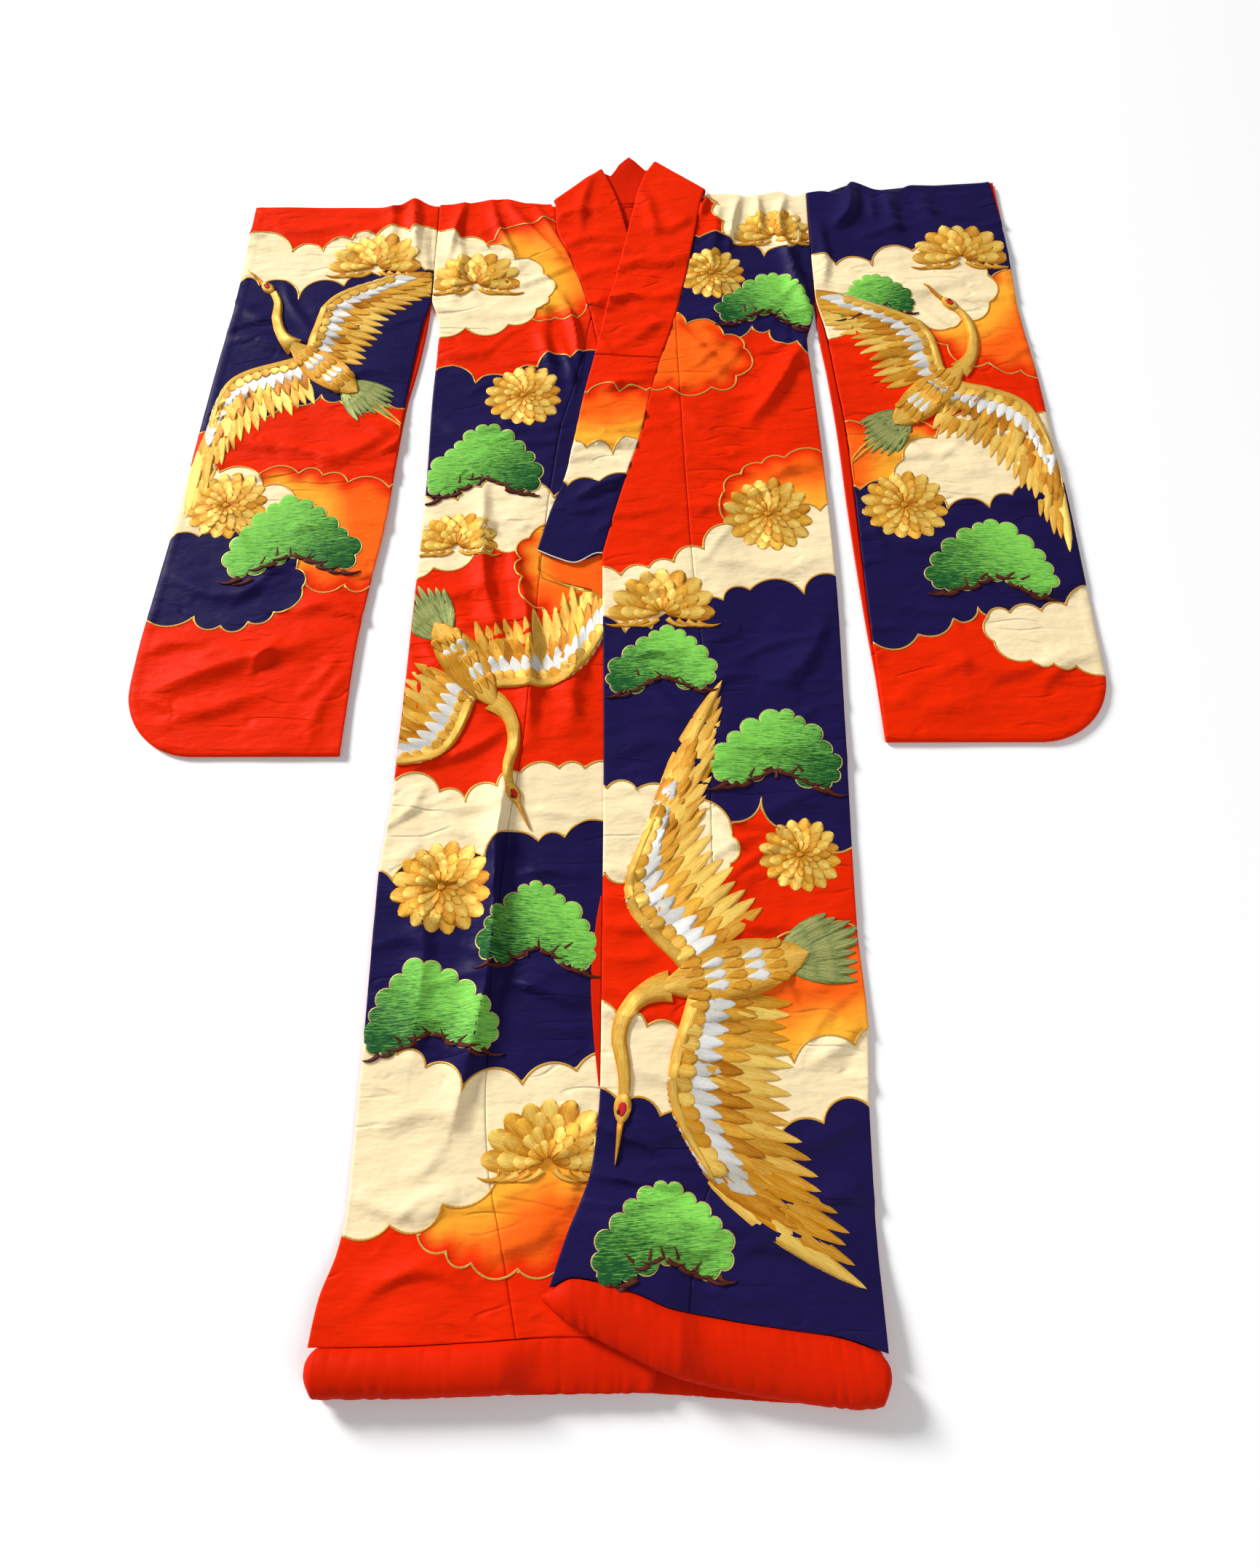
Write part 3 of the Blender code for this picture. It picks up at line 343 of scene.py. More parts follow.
CLOTH, OVER_COLLAR, LINING = 0.0030, 0.0042, 0.0010     # thickness of each kind of wall
GAP, SEAM = 0.0003, 0.0004      # between layers that touch, and between edges sewn together
SHOULDER_Y, CENTRE_X = 0.8872, 0.0060       # the shoulder line and the centre-back seam
HEM, COLLAR_POINT, COLLAR_END = 1.800, 0.270, 0.729     # how far down each one is
HEM_ROLL, BACK_ROLL = 0.014, 0.010      # thickness of the fronts' rolled hems and the back's
ROLL_SEAM = 0.008           # how high up its roll each hem is sewn
FRONT_LEVEL = CLOTH + GAP   # a front's underside, on the back
OVERLAP_RISE, OVERLAP_RISE_LOW = OVER_COLLAR + 2 * GAP, CLOTH + GAP     # at the collar, below
EDGE_STEPS = np.array([0.0, 0.0006, 0.0016, 0.0032, 0.0060])    # in from an edge
GRID = 0.005       # between rows, and between points of a row
BODY_COLUMNS, OVERLAP_COLUMNS, COLLAR_COLUMNS = (int(width / GRID)
                                                 for width in (0.26, 0.13, 0.09))
POINT_LENGTH = 0.030        # the overlap strip narrows to its point over this length
SHOULDER_ROW, BACK_ROW = 0.027, 0.100       # the straight rows nearest the shoulder fold
SHOULDER_FADE, SHOULDER_REACH = 0.09, 0.30      # how far down the fold's waviness dies out
# The shoulder fold's own wavy line, from wrist to wrist: x, up from the shoulder line
SHOULDER = table(2,
    -643, -16, -500, -18, -400, -19, -361, 0, -330, -16, -287, -14, -204, -3, -165, -12, -125, -15,
    146, 5.5, 188, 5.5, 215, 0, 246, 5.5, 272, 11, 298, -1, 320, 8, 347, 12.7, 380, 6, 402, 33,
    446, 14.5, 476, 11, 505, 24, 576, 22, 650, 31)
# Edges and seams of the body: down, x
RIGHT_SIDE = table(2,
    0, -320.3, 110, -320.3, 225, -320.3, 270, -308, 315, -303, 445, -305.7, 600, -304, 800, -308,
    1120, -316, 1240, -326, 1500, -326.5, 1650, -328, 1700, -335, 1750, -350, 1800, -356.4)
LEFT_SIDE = table(2,
    0, 320.3, 110, 320.3, 225, 320.3, 270, 316.6, 325, 303.5, 420, 309, 600, 317, 800, 322,
    1000, 319.5, 1300, 315, 1420, 320, 1540, 313.5, 1700, 311, 1800, 312.5)
RIGHT_COLLAR_SEAM = table(2,
    12, -118.6, 74, -115, 131, -94, 205, -68, 267, -52, 315, -42, 435, -16, 550, 4, 650, 18,
    729, 28)
LEFT_COLLAR_SEAM = table(2,
    -4, 141, 27, 133.6, 79, 125.7, 184, 107, 299, 81, 359, 63, 435, 44.7, 503, 31.6, 586, 8.5,
    655, -10, 729, -28)
RIGHT_OVERLAP_SEAM = table(2,
    270, -52, 390, -72, 500, -98, 729, -120, 1000, -134, 1200, -155, 1500, -167, 1600, -160,
    1700, -138, 1800, -115.5)
LEFT_OVERLAP_SEAM = table(2,
    270, 88, 500, 96, 700, 105, 950, 122, 1110, 126, 1490, 123.5, 1600, 121, 1710, 94, 1800, 85)
RIGHT_FREE_EDGE = table(2,
    729, 28, 1000, 20, 1200, 0, 1500, -6, 1650, 20, 1800, 46)
LEFT_FREE_EDGE = table(2,
    729, -28, 1200, -22, 1500, -22, 1600, -27, 1650, -32, 1700, -43, 1750, -60, 1800, -78)
# The hem seam of each front, and the back of the neck from left to right: x, down
RIGHT_HEM = table(2,
    -356.4, 1803, -255, 1801, -158, 1796, -61, 1790, 46, 1790)
LEFT_HEM = table(2,
    -78, 1738, -50, 1727, -12, 1733, 26.5, 1745, 65, 1760, 133, 1773, 206, 1783, 254, 1789,
    312.5, 1807)
NECKLINE = table(2,
    147.5, -2.4, 100, 11, 50, 19, 0, 22, -50, 20.5, -90, 18, -124.5, 17.5)
CENTRE_BACK = 3     # the neckline's row on the centre-back seam
# The left collar, neck fold to end: seam down, free x, free down, bow of the row's middle
LEFT_COLLAR = table(4,
    -4, 53, -72.3, 0, 27, 34.5, -36, 0, 79, 18.5, 32, 0, 131, 6, 100, 0, 184, -7, 165, 0,
    270, -28, 260, 0, 359, -45, 351, 0, 435, -60, 424, 0, 510, -73, 505, 0, 586, -87, 586, 0,
    655, -108, 650, 4, 729, -127, 723.5, 18)
# Where the left front and its collar lie on the right front: down, x of their edge
COVER = np.vstack((LEFT_COLLAR[2:, [2, 1]],
                   table(2, 765, -127, 800, -28, 1200, -22, 1600, -27, 1740, -85)))


def curve(rows, key, column=1):
    """A column of a table at keys between its rows, on a smooth curve through them."""
    keys, values = rows[:, 0], rows[:, column]
    key = np.clip(key, keys[0], keys[-1])
    run = np.diff(keys)
    rise = np.diff(values) / run
    both, product = rise[:-1] + rise[1:], rise[:-1] * rise[1:]
    inner = np.where(product > 0, 2 * product / np.where(both == 0, 1, both), 0)
    slope = np.concatenate((rise[:1], inner, rise[-1:]))
    i = np.clip(np.searchsorted(keys, key, side="right") - 1, 0, len(keys) - 2)
    t = (key - keys[i]) / run[i]
    return ((1 + 2 * t) * (1 - t) ** 2 * values[i] + t * (1 - t) ** 2 * run[i] * slope[i]
            + t * t * (3 - 2 * t) * values[i + 1] - t * t * (1 - t) * run[i] * slope[i + 1])


def smooth(low, high, value):
    t = np.clip((value - low) / (high - low), 0, 1)
    return t * t * (3 - 2 * t)


def mix(a, b, t):
    return a + (b - a) * t


def place(x, down, z):
    return np.stack(np.broadcast_arrays(x + CENTRE_X, SHOULDER_Y - down, z), -1)


def half_round(depth):
    """Height of a rounded edge, 0 at the edge and 1 from a depth of 1 on."""
    return np.sqrt(1 - (1 - np.clip(depth, 0, 1)) ** 2)


def shoulder_shift(x, x_inner, x_outer, down):
    """How far the shoulder's wavy fold carries a point, beyond a straight row."""
    straight = mix(curve(SHOULDER, x_inner), curve(SHOULDER, x_outer),
                   (x - x_inner) / (x_outer - x_inner))
    return (curve(SHOULDER, x) - straight) * np.exp(-(down / SHOULDER_FADE) ** 2)


def right_level(x, down):
    """The right front's underside, which the rolled hem below it lifts."""
    lift = BACK_ROLL + GAP + ROLL_SEAM - FRONT_LEVEL
    return FRONT_LEVEL + lift * smooth(1.66, HEM, down) + 0 * x


def left_level(x, down):
    """The left front's underside, over the right front's strip and the rolls below it."""
    rise = mix(OVERLAP_RISE, OVERLAP_RISE_LOW, smooth(0.76, 0.90, down))
    level = FRONT_LEVEL + rise * (1 - smooth(0.140, 0.200, x))
    rolls = BACK_ROLL + GAP + (HEM_ROLL + GAP) * (1 - smooth(0.050, 0.110, x))
    seam = curve(LEFT_HEM, x)
    return level + (rolls + ROLL_SEAM - level) * smooth(seam - 0.15, seam, down)


def bent(points, count=10):
    """A smooth line through a few points."""
    points = np.array(points, dtype=float)
    if len(points) == 2:
        return points
    ends = np.vstack((2 * points[0] - points[1], points, 2 * points[-1] - points[-2]))
    return np.vstack([*(spline(*ends[k:k + 4], count) for k in range(len(points) - 1)),
                      points[-1]])


def small_creases(seed, count, x_range, down_range, scale=1.0):
    """Short creases between the main ones, most of them across the cloth."""
    rng = np.random.default_rng(seed)
    for _ in range(count):
        x, down, heading = rng.uniform(*x_range), rng.uniform(*down_range), rng.normal(0, 0.42)
        half, bow = rng.uniform(0.020, 0.075), rng.uniform(-0.012, 0.012)
        reach_x, reach_down = cos(heading) * half, sin(heading) * half
        yield (rng.uniform(0.0050, 0.0100), rng.uniform(0.0014, 0.0042) * scale,
               x - reach_x, down - reach_down, x - bow * sin(heading),
               down + bow * cos(heading), x + reach_x, down + reach_down)


TROUGH_FLOOR = 0.0007       # a trough sinks no deeper, for the layer below it


class Folds:
    """Soft folds, each with a steeper side and a shallow trough beside it."""

    def __init__(self, main, small):
        """Each fold's half width, height and points, of the main ones in millimetres."""
        self.rows = []
        for half_width, top, *points in [*(np.array(fold) / 1000 for fold in main), *small]:
            line = bent(np.reshape(points, (-1, 2)), 5)
            along, across = line[-1] - line[0]
            line = line[::-1] if across > 0.8 * along else line
            self.rows.append((line, half_width, top, box_round(line, 4 * half_width)))
        self.boxes = np.array([row[3] for row in self.rows])

    def height(self, x, down):
        x, down = np.broadcast_arrays(x, down)
        height, boxes = np.zeros(x.shape), self.boxes
        close = np.all((boxes[:, :2] < (x.max(), down.max()))
                       & (boxes[:, 2:] > (x.min(), down.min())), axis=1)
        for row in np.flatnonzero(close):
            line, half_width, top, box = self.rows[row]
            near = within(box, x, down)
            if not near.any():
                continue
            off_x, off_down, run, t, far = beside(line, x[near], down[near])
            nearest = far.argmin(1)
            best = np.arange(len(nearest)), nearest
            off = (far * np.sign(off_x * run[:, 1] - off_down * run[:, 0]))[best]
            passed = distance_along(line)
            along = (passed[nearest] + t[best] * np.diff(passed)[nearest]) / passed[-1]
            taper = 0.15 + 0.85 * np.clip(4 * along * (1 - along), 0, 1) ** 0.7
            width = half_width * np.where(off > 0, 1.4, 0.7)
            trough = np.exp(-((off + 1.9 * half_width) / half_width) ** 2)
            crest = 0.65 * np.exp(-(off / width) ** 2) + 0.35 * np.exp(-2.2 * abs(off) / width)
            height[near] += top * taper * (crest - 0.3 * trough)
        return np.where(height > 0, height,
                        TROUGH_FLOOR * (np.exp(height / TROUGH_FLOOR) - 1))


def swell(x, down, seed, size, depth):
    """The cloth's gentle unevenness: a few long waves that cross, from 0 to depth."""
    rng = np.random.default_rng(seed)
    total = 0.0
    for _ in range(9):
        turn, wave, phase = rng.uniform(0, pi), size * rng.uniform(0.6, 1.7), rng.uniform(0, 6.3)
        total = total + np.sin(2 * pi * (x * cos(turn) + down * sin(turn)) / wave + phase)
    return depth * (0.5 + total / 12)


def linked(name, data):
    """A new object of the scene."""
    made = bpy.data.objects.new(name, data)
    bpy.context.scene.collection.objects.link(made)
    return made


def make(name, points, faces, finish, values=None, sharp=60):
    """A piece from points and faces, its faces outward, with values for each point."""
    corners = [points[np.array([face[k] for face in faces])] for k in range(3)]
    if np.einsum("ij,ij->", corners[0], np.cross(corners[1], corners[2])) < 0:
        faces = [tuple(face)[::-1] for face in faces]
    mesh = bpy.data.meshes.new(name)
    mesh.from_pydata(points.tolist(), [], faces)
    for key, value in (values or {}).items():
        layer_of = mesh.attributes.new(key, "FLOAT", "POINT")
        layer_of.data.foreach_set("value", np.asarray(value, dtype=np.float32))
    mesh.shade_smooth()
    mesh.set_sharp_from_angle(angle=radians(sharp))
    mesh.materials.append(finish.material)
    piece = linked(name, mesh)
    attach(piece, "root")
    return piece


def ribs(count, around, slit=None):
    """Faces between rings of points, with a cap at each end, open after point slit."""
    faces = [(i * around + k, i * around + (k + 1) % around,
              (i + 1) * around + (k + 1) % around, (i + 1) * around + k)
             for i in range(count - 1) for k in range(around) if k != slit]
    last = (count - 1) * around
    return faces + [tuple(range(around))[::-1], tuple(range(last, last + around))]


def columns(width, middle):
    """Places across a row from 0 to 1, closer at its rounded edges."""
    edge = EDGE_STEPS * min(1.0, width / 0.03) / width
    between = np.linspace(edge[-1], 1 - edge[-1], middle + 2)[1:-1]
    return np.concatenate((edge, between, 1 - edge[::-1]))


class Row:
    """A row across a layer: its middle line, the way it faces, and its folds."""

    def __init__(self, x, down, level, relief=None, up=1, thickness=CLOTH, end=1.0):
        under = level(x, down) if callable(level) else level
        self.x, self.down, self.cloth_down, self.end = x, down, down, end
        self.middle = place(x, down, under + thickness / 2)
        self.face = np.array((0.0, 0.0, up))
        self.lift = relief(x, down) if relief else np.zeros(len(x))


def fold_over(front, back, outward, steps=8):
    """The rows round a fold, from the front layer to the back layer under it."""
    rows = []
    for angle in np.linspace(pi / 2, -pi / 2, steps + 1)[1:-1]:
        row = Row(front.x, front.down, 0.0)
        row.face = np.array(outward) * cos(angle) + np.array((0.0, 0.0, sin(angle)))
        radius = (front.middle[:, 2] - back.middle[:, 2]) / 2
        row.middle = (front.middle + back.middle) / 2 + radius[:, None] * row.face
        row.lift = front.lift * (1 + sin(angle)) / 2
        rows.append(row)
    return rows


def sew(name, node, rings, faces, group, finish, flat, **said):
    """A cloth piece through rings of (points, x, down, is lining), and what it stands for. Its flat
    size and the other values said of it are not used.
    """
    points, x, down, inside = (np.concatenate(part) for part in zip(*rings))
    values = {**dyed(group, x, down), "lining": inside} if finish is figured else {}
    piece = make(name, points, faces, finish, values)
    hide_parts(node)


def layer(name, rows, thickness, group, flat, finish=figured, radius=0.003, every=8, **said):
    """A closed layer of cloth through rows: face, rounded edges, and plainer inside."""
    rings, count = [], len(rows[0].x)
    inner = [2, 4, *range(4 + every, count - 5, every), count - 5, count - 3][::-1]
    for row in rows:
        along = distance_along(row.middle)
        edge = np.minimum(along, along[-1] - along)
        half = thickness / 2 * half_round(np.minimum(edge, row.end) / radius)
        face = row.middle + row.face * (half + row.lift)[:, None]
        back_lift = row.lift * (1 - smooth(0, 0.005, edge))
        back = row.middle + row.face * (back_lift - half)[:, None]
        rings.append((np.vstack((face, back[inner])), np.append(row.x, row.x[inner]),
                      np.append(row.cloth_down, row.cloth_down[inner]),
                      np.repeat((0.0, 1.0), (count, len(inner)))))
    sew(name + "_cloth", name, rings, ribs(len(rows), count + len(inner)), group, finish, flat,
        **said)


# Main folds and creases lie where the silk slid and slackened as it was spread out.
RIGHT_FOLDS = Folds((
    (12, 12.5, -163, 725, -135, 850, -126, 1030), (13, 10, -213, 600, -204, 770, -170, 890),
    (9, 8.5, -290, 879, -249, 934, -181, 1004),
    (16, 20, -155, 1060, -166, 1200, -168, 1360, -205, 1560),
    (10, 7, -295, 1075, -220, 1055, -158, 1015), (9, 8.5, -205, 10, -175, 53, -97, 157),
    (9, 8, -231, 8, -210, 80, -179, 144), (9, 7.5, -275, 10, -288, 80, -297, 140),
    (8, 7, -153, 20, -123, 80, -88, 149), (8, 7, -123, 192, -79, 288, -62, 427),
    (7, 6, -79, 166, -53, 227, -40, 305), (8, 6, -105, 314, -79, 392, -72, 479),
    (9, 5.5, -140, 288, -114, 375), (10, 5.5, -288, 157, -244, 227),
    (16, 8.1, -160, 1700, -110, 1690, -75, 1670), (14, 8, -63, 850, -68, 1020),
    (12, 6.8, -290, 60, -275, 140, -285, 240), (12, 4.7, -310, 330, -270, 350, -220, 340),
    (14, 4.1, -300, 470, -250, 500, -170, 480), (10, 5.4, -130, 230, -122, 330, -104, 420),
    (8, 4.1, -100, 205, -80, 288, -70, 390), (12, 4.1, -300, 660, -250, 690, -190, 670),
    (13, 4.7, -310, 790, -250, 800, -170, 770), (14, 5.4, -260, 1140, -200, 1180, -120, 1170),
    (13, 5.4, -310, 1250, -260, 1290, -200, 1300), (8, 7, -150, 1236, -100, 1228, -40, 1236),
    (10, 10, -160, 1372, -100, 1388, -35, 1412), (14, 5.4, -310, 1400, -260, 1430, -210, 1420),
    (15, 5.4, -300, 1560, -240, 1540, -180, 1560), (13, 6.8, -320, 1640, -250, 1660, -190, 1640),
    (12, 5.4, -300, 1740, -230, 1720, -170, 1735), (12, 5.4, -60, 1600, -45, 1680, -55, 1760),
    (16, 6.8, -270, 1200, -255, 1340, -262, 1480),
), small_creases(61, 95, (-0.30, -0.04), (0.06, 1.76)))
LEFT_FOLDS = Folds((
    (17, 10.8, 200, 490, 250, 420, 300, 320), (11, 13.5, 277, 110, 293, 194, 312, 267),
    (9, 8.5, 203, 4, 190, 60, 180, 130), (8, 7, 147, 4, 134, 53),
    (9, 8, 282, 4, 269, 70, 286, 140), (9, 8, 234, 4, 238, 90),
    (18, 6.8, 230, 950, 270, 910, 305, 840), (8, 9, -35, 1612, 30, 1622, 100, 1626),
    (9, 8, -45, 1642, 10, 1648, 70, 1640), (20, 9.5, -60, 1668, 60, 1664, 290, 1690),
    (16, 6.8, 240, 1480, 280, 1460, 310, 1430), (20, 6.8, 130, 1690, 220, 1700, 300, 1740),
    (11, 5.4, 165, 30, 160, 90, 148, 170), (10, 6.8, 290, 30, 300, 90, 296, 150),
    (12, 5.4, 150, 220, 200, 250, 280, 300), (13, 4.7, 110, 340, 160, 380, 220, 390),
    (13, 5.4, 80, 450, 130, 500, 190, 530), (13, 5.4, 220, 600, 270, 570, 312, 560),
    (14, 4.7, 40, 620, 110, 650, 190, 640), (12, 4.1, 10, 780, 60, 765, 110, 780),
    (14, 4.1, 170, 740, 240, 760, 300, 740), (12, 4.1, -10, 880, 50, 900, 100, 890),
    (15, 5.4, 130, 1020, 200, 1050, 290, 1040), (13, 4.1, -15, 1060, 50, 1040, 110, 1060),
    (14, 5.4, 190, 1150, 250, 1130, 310, 1150), (9, 5.4, -18, 1225, 20, 1232, 70, 1222),
    (8, 4.7, -18, 1262, 30, 1270, 90, 1262), (8, 5.4, -18, 1300, 10, 1310, 60, 1304),
    (8, 4.1, -18, 1345, 20, 1350, 50, 1344), (9, 4.7, -18, 1385, 30, 1396, 100, 1380),
    (14, 5.4, 140, 1290, 220, 1310, 300, 1290), (13, 4.7, 150, 1400, 200, 1380, 270, 1390),
    (13, 5.4, -10, 1470, 60, 1500, 120, 1490), (14, 5.4, 160, 1560, 230, 1580, 300, 1550),
    (12, 5.4, -15, 1560, 40, 1575, 90, 1560), (15, 9.5, -20, 1675, 50, 1690, 120, 1700),
    (13, 5.4, 180, 1640, 240, 1645, 300, 1625), (10, 4.1, 60, 1730, 130, 1745, 200, 1750),
), small_creases(62, 115, (0.00, 0.31), (0.06, 1.72)))


def right_relief(x, down):
    """The right front's folds, which die out where the left front lies on it."""
    covered = curve(COVER, down)
    bare = 1 - smooth(covered - 0.035, covered - 0.005, x)
    return (RIGHT_FOLDS.height(x, down) + swell(x, down, 11, 0.16, 0.0022)) * bare


def left_relief(x, down):
    return LEFT_FOLDS.height(x, down) + swell(x, down, 12, 0.16, 0.0022)


def hem_down(hem, x, down):
    """A row's places, of which the ones near the hem follow the hem's own line."""
    return down + (curve(hem, x) - HEM) * smooth(1.45, HEM, down)


def row_downs(first, last, step=GRID):
    return np.linspace(first, last, max(2, round((last - first) / step) + 1))


FRONT_END = HEM - EDGE_STEPS[1:4] * 0.6     # a front's last rows, closer at the hem


def body(name, side, collar_seam, overlap_seam, hem, level, relief, neckline, group):
    """One length of cloth: front hem, shoulder fold, back hem."""
    sign = 1 if side[0, 1] > 0 else -1
    rows = []
    for down in np.append(FRONT_END, row_downs(SHOULDER_ROW, HEM - 0.006)[::-1]):
        inner = curve(collar_seam if down <= COLLAR_POINT else overlap_seam, down)
        inner, outer = inner + sign * SEAM / 2, curve(side, down)
        x = mix(inner, outer, columns(abs(outer - inner), BODY_COLUMNS))
        shift = shoulder_shift(x, inner, outer, down) if down < SHOULDER_REACH else 0.0
        rows.append(Row(x, hem_down(hem, x, down) - shift - GAP, level, relief,
                        end=HEM - down + GAP))
    (neck_x, neck_down), outer_x = neckline[0], side[0, 1]
    outer_down = CLOTH - curve(SHOULDER, outer_x)
    t = columns(abs(outer_x - neck_x), BODY_COLUMNS)
    top_x = mix(neck_x, outer_x, t)
    top_down = mix(neck_down, outer_down, t) - shoulder_shift(top_x, neck_x, outer_x, 0)
    lowest = rows[-1]
    rows += [Row(mix(lowest.x, top_x, k), mix(lowest.down, top_down, k), FRONT_LEVEL, relief)
             for k in np.linspace(0, 1, 7)[1:]]
    back = [Row(top_x, top_down, 0.0, up=-1)]
    rows += fold_over(rows[-1], back[0], (0, 1, 0))
    for k, (neck_x, neck_down) in enumerate(neckline[1:], 1):
        outer_row = mix(outer_down, BACK_ROW, k / len(neckline))
        back.append(Row(mix(neck_x + sign * SEAM / 2, outer_x, t),
                        mix(neck_down + SEAM, outer_row, t), 0.0, up=-1))
    for down in np.append(row_downs(BACK_ROW, HEM - 0.004, 2.4 * GRID), HEM - GAP):
        back.append(Row(mix(sign * SEAM / 2, curve(side, down), t), 0 * t + down, 0.0, up=-1,
                        end=HEM - down))
    for row in back:
        row.cloth_down = 2 * np.interp(sign * row.x, sign * top_x, top_down) - row.down
    layer(name, rows + back, CLOTH, group, (0.325, 3.64), area=1.13)


def overlap(name, collar_seam, free_edge, overlap_seam, hem, level, relief, group):
    """The strip sewn to a front's edge, from its point at the collar to the hem."""
    sign = 1 if overlap_seam[0, 1] < 0 else -1
    rows = []
    for down in np.append(row_downs(COLLAR_POINT + 0.0066, HEM - 0.006), FRONT_END[::-1]):
        outer = curve(overlap_seam, down)
        inner = curve(collar_seam if down < COLLAR_END else free_edge, down)
        if down < COLLAR_POINT + POINT_LENGTH:
            tip, near = curve(collar_seam, COLLAR_POINT), (down - COLLAR_POINT) / POINT_LENGTH
            outer, inner = (mix(tip, curve(seam, COLLAR_POINT + POINT_LENGTH), near)
                            for seam in (overlap_seam, collar_seam))
        outer, inner = outer + sign * SEAM / 2, inner - (down <= COLLAR_END) * sign * SEAM / 2
        x = mix(outer, inner, columns(abs(outer - inner), OVERLAP_COLUMNS))
        rows.append(Row(x, hem_down(hem, x, down) - GAP, level, relief, end=HEM - down + GAP))
    layer(name, rows, CLOTH, group, (0.16, 1.53), area=0.16)


body("right_body", RIGHT_SIDE, RIGHT_COLLAR_SEAM, RIGHT_OVERLAP_SEAM, RIGHT_HEM, right_level,
     right_relief, NECKLINE[:CENTRE_BACK - 1:-1], "right")
body("left_body", LEFT_SIDE, LEFT_COLLAR_SEAM, LEFT_OVERLAP_SEAM, LEFT_HEM, left_level,
     left_relief, NECKLINE[:CENTRE_BACK + 1], "left")
overlap("right_overlap", RIGHT_COLLAR_SEAM, RIGHT_FREE_EDGE, RIGHT_OVERLAP_SEAM, RIGHT_HEM,
        right_level, right_relief, "right")
overlap("left_overlap", LEFT_COLLAR_SEAM, LEFT_FREE_EDGE, LEFT_OVERLAP_SEAM, LEFT_HEM,
        left_level, left_relief, "left")


# The collar: one band folded double round the neck, under a shorter over-collar. It turns
# over at each side of the neck, so that its lining shows behind the neck.
OVER_COLLAR_END = 0.359
NECK_RISE = OVER_COLLAR + LINING + 2 * GAP - CLOTH
RIGHT_COLLAR = table(4,
    12, -36.6, -62.3, 0, 74, -12.5, 0, 0, 131, 6, 75, 0, 205, 28, 165, 0, 267, 45, 240, 0,
    359, 67, 350, 0, 435, 83, 430, 0, 550, 99, 550, 0, 650, 114, 650, 4, 729, 128, 725, 18)
# The free edge of the collar behind the neck: x, down
NECK_TOP = table(2,
    37, -64, 21, -80, 9.6, -89.5, -7.6, -74, -19, -52)
COLLAR_FOLDS = Folds((
    (8, 4.6, 120, 60, 80, 85, 35, 80), (7, 4.2, 110, 150, 60, 165, 10, 155),
    (7, 4.6, 95, 230, 50, 236, -5, 228), (8, 4.2, 80, 285, 30, 300, -20, 296),
    (9, 4.2, 50, 400, 0, 412, -45, 400), (9, 3.8, 30, 520, -20, 530, -60, 515),
    (9, 4.2, -20, 640, -60, 655, -100, 645), (8, 4.6, -112, 50, -80, 40, -30, 30),
    (8, 4.2, -105, 120, -60, 100, -10, 100), (7, 3.8, -80, 190, -40, 170, 0, 165),
    (10, 4.6, 20, -20, 45, 30, 60, 110), (9, 4.6, -55, -45, -70, 20, -72, 90),
), small_creases(63, 60, (-0.10, 0.11), (0.04, 0.70), 1.3))


def right_collar_level(x, down):
    return FRONT_LEVEL + NECK_RISE * (1 - smooth(0.080, 0.170, down))


def left_collar_level(x, down):
    return (left_level(np.minimum(x, 0.10), np.minimum(down, 0.74)) - FRONT_LEVEL
            + right_collar_level(x, down))


def left_collar_relief(x, down):
    return COLLAR_FOLDS.height(x, down) + swell(x, down, 21, 0.09, 0.0008)


def right_collar_relief(x, down):
    hidden = smooth(-0.02, 0.0, x - curve(COVER, down))
    return left_collar_relief(x, down) * (1 - hidden)


def neck_arch(x, down):
    """The back of the neck stands a little off the surface."""
    return 0.006 * smooth(0.030, 0.090, -down) * np.exp(-((x - 0.0096) / 0.030) ** 2)


def collar_side(side, first, last, thickness, gap):
    """Rows down one side of the collar. One with a gap is cut at its upper end too."""
    seam_table, band, level, relief = side
    sign = 1 if band[0, 1] < seam_table[0, 1] else -1
    ends = EDGE_STEPS[:4] + GAP
    downs = [*row_downs(first, last)[2 if gap else 0:-2], *(last - ends[::-1])]
    rows = []
    for down in ([*(first + ends), *downs] if gap else downs):
        seam_x = curve(seam_table, down) - sign * SEAM / 2
        free_x, free_down, bow = (curve(band, down, column) for column in (1, 2, 3))
        t = columns(np.hypot(free_x - seam_x, free_down - down), COLLAR_COLUMNS)
        rows.append(Row(mix(seam_x, free_x, t), mix(down, free_down, t) + bow * np.sin(pi * t)
                        + gap, level, relief, thickness=thickness,
                        end=min(last - down, down - first if gap else 1.0)))
    return rows


def turn_over(row, turned, sign):
    """The rows of the collar's turn at one side of the neck, level with the cloth."""
    run = row.middle[-1] - row.middle[0]
    out = np.array((-run[1], run[0], 0.0)) * sign
    return fold_over(row, turned, out / np.linalg.norm(out))


def row_behind_neck(station):
    """A row of the collar behind the neck, its lining side up."""
    (x, down), (free_x, free_down) = (
        [np.interp(station - before, range(len(line)), axis) for axis in line.T]
        for line, before in ((NECKLINE, 0), (NECK_TOP, 1)))
    t = columns(0.09, COLLAR_COLUMNS)
    return Row(mix(x, free_x, t), mix(down - SEAM, free_down, t), neck_arch, up=-1,
               thickness=OVER_COLLAR)


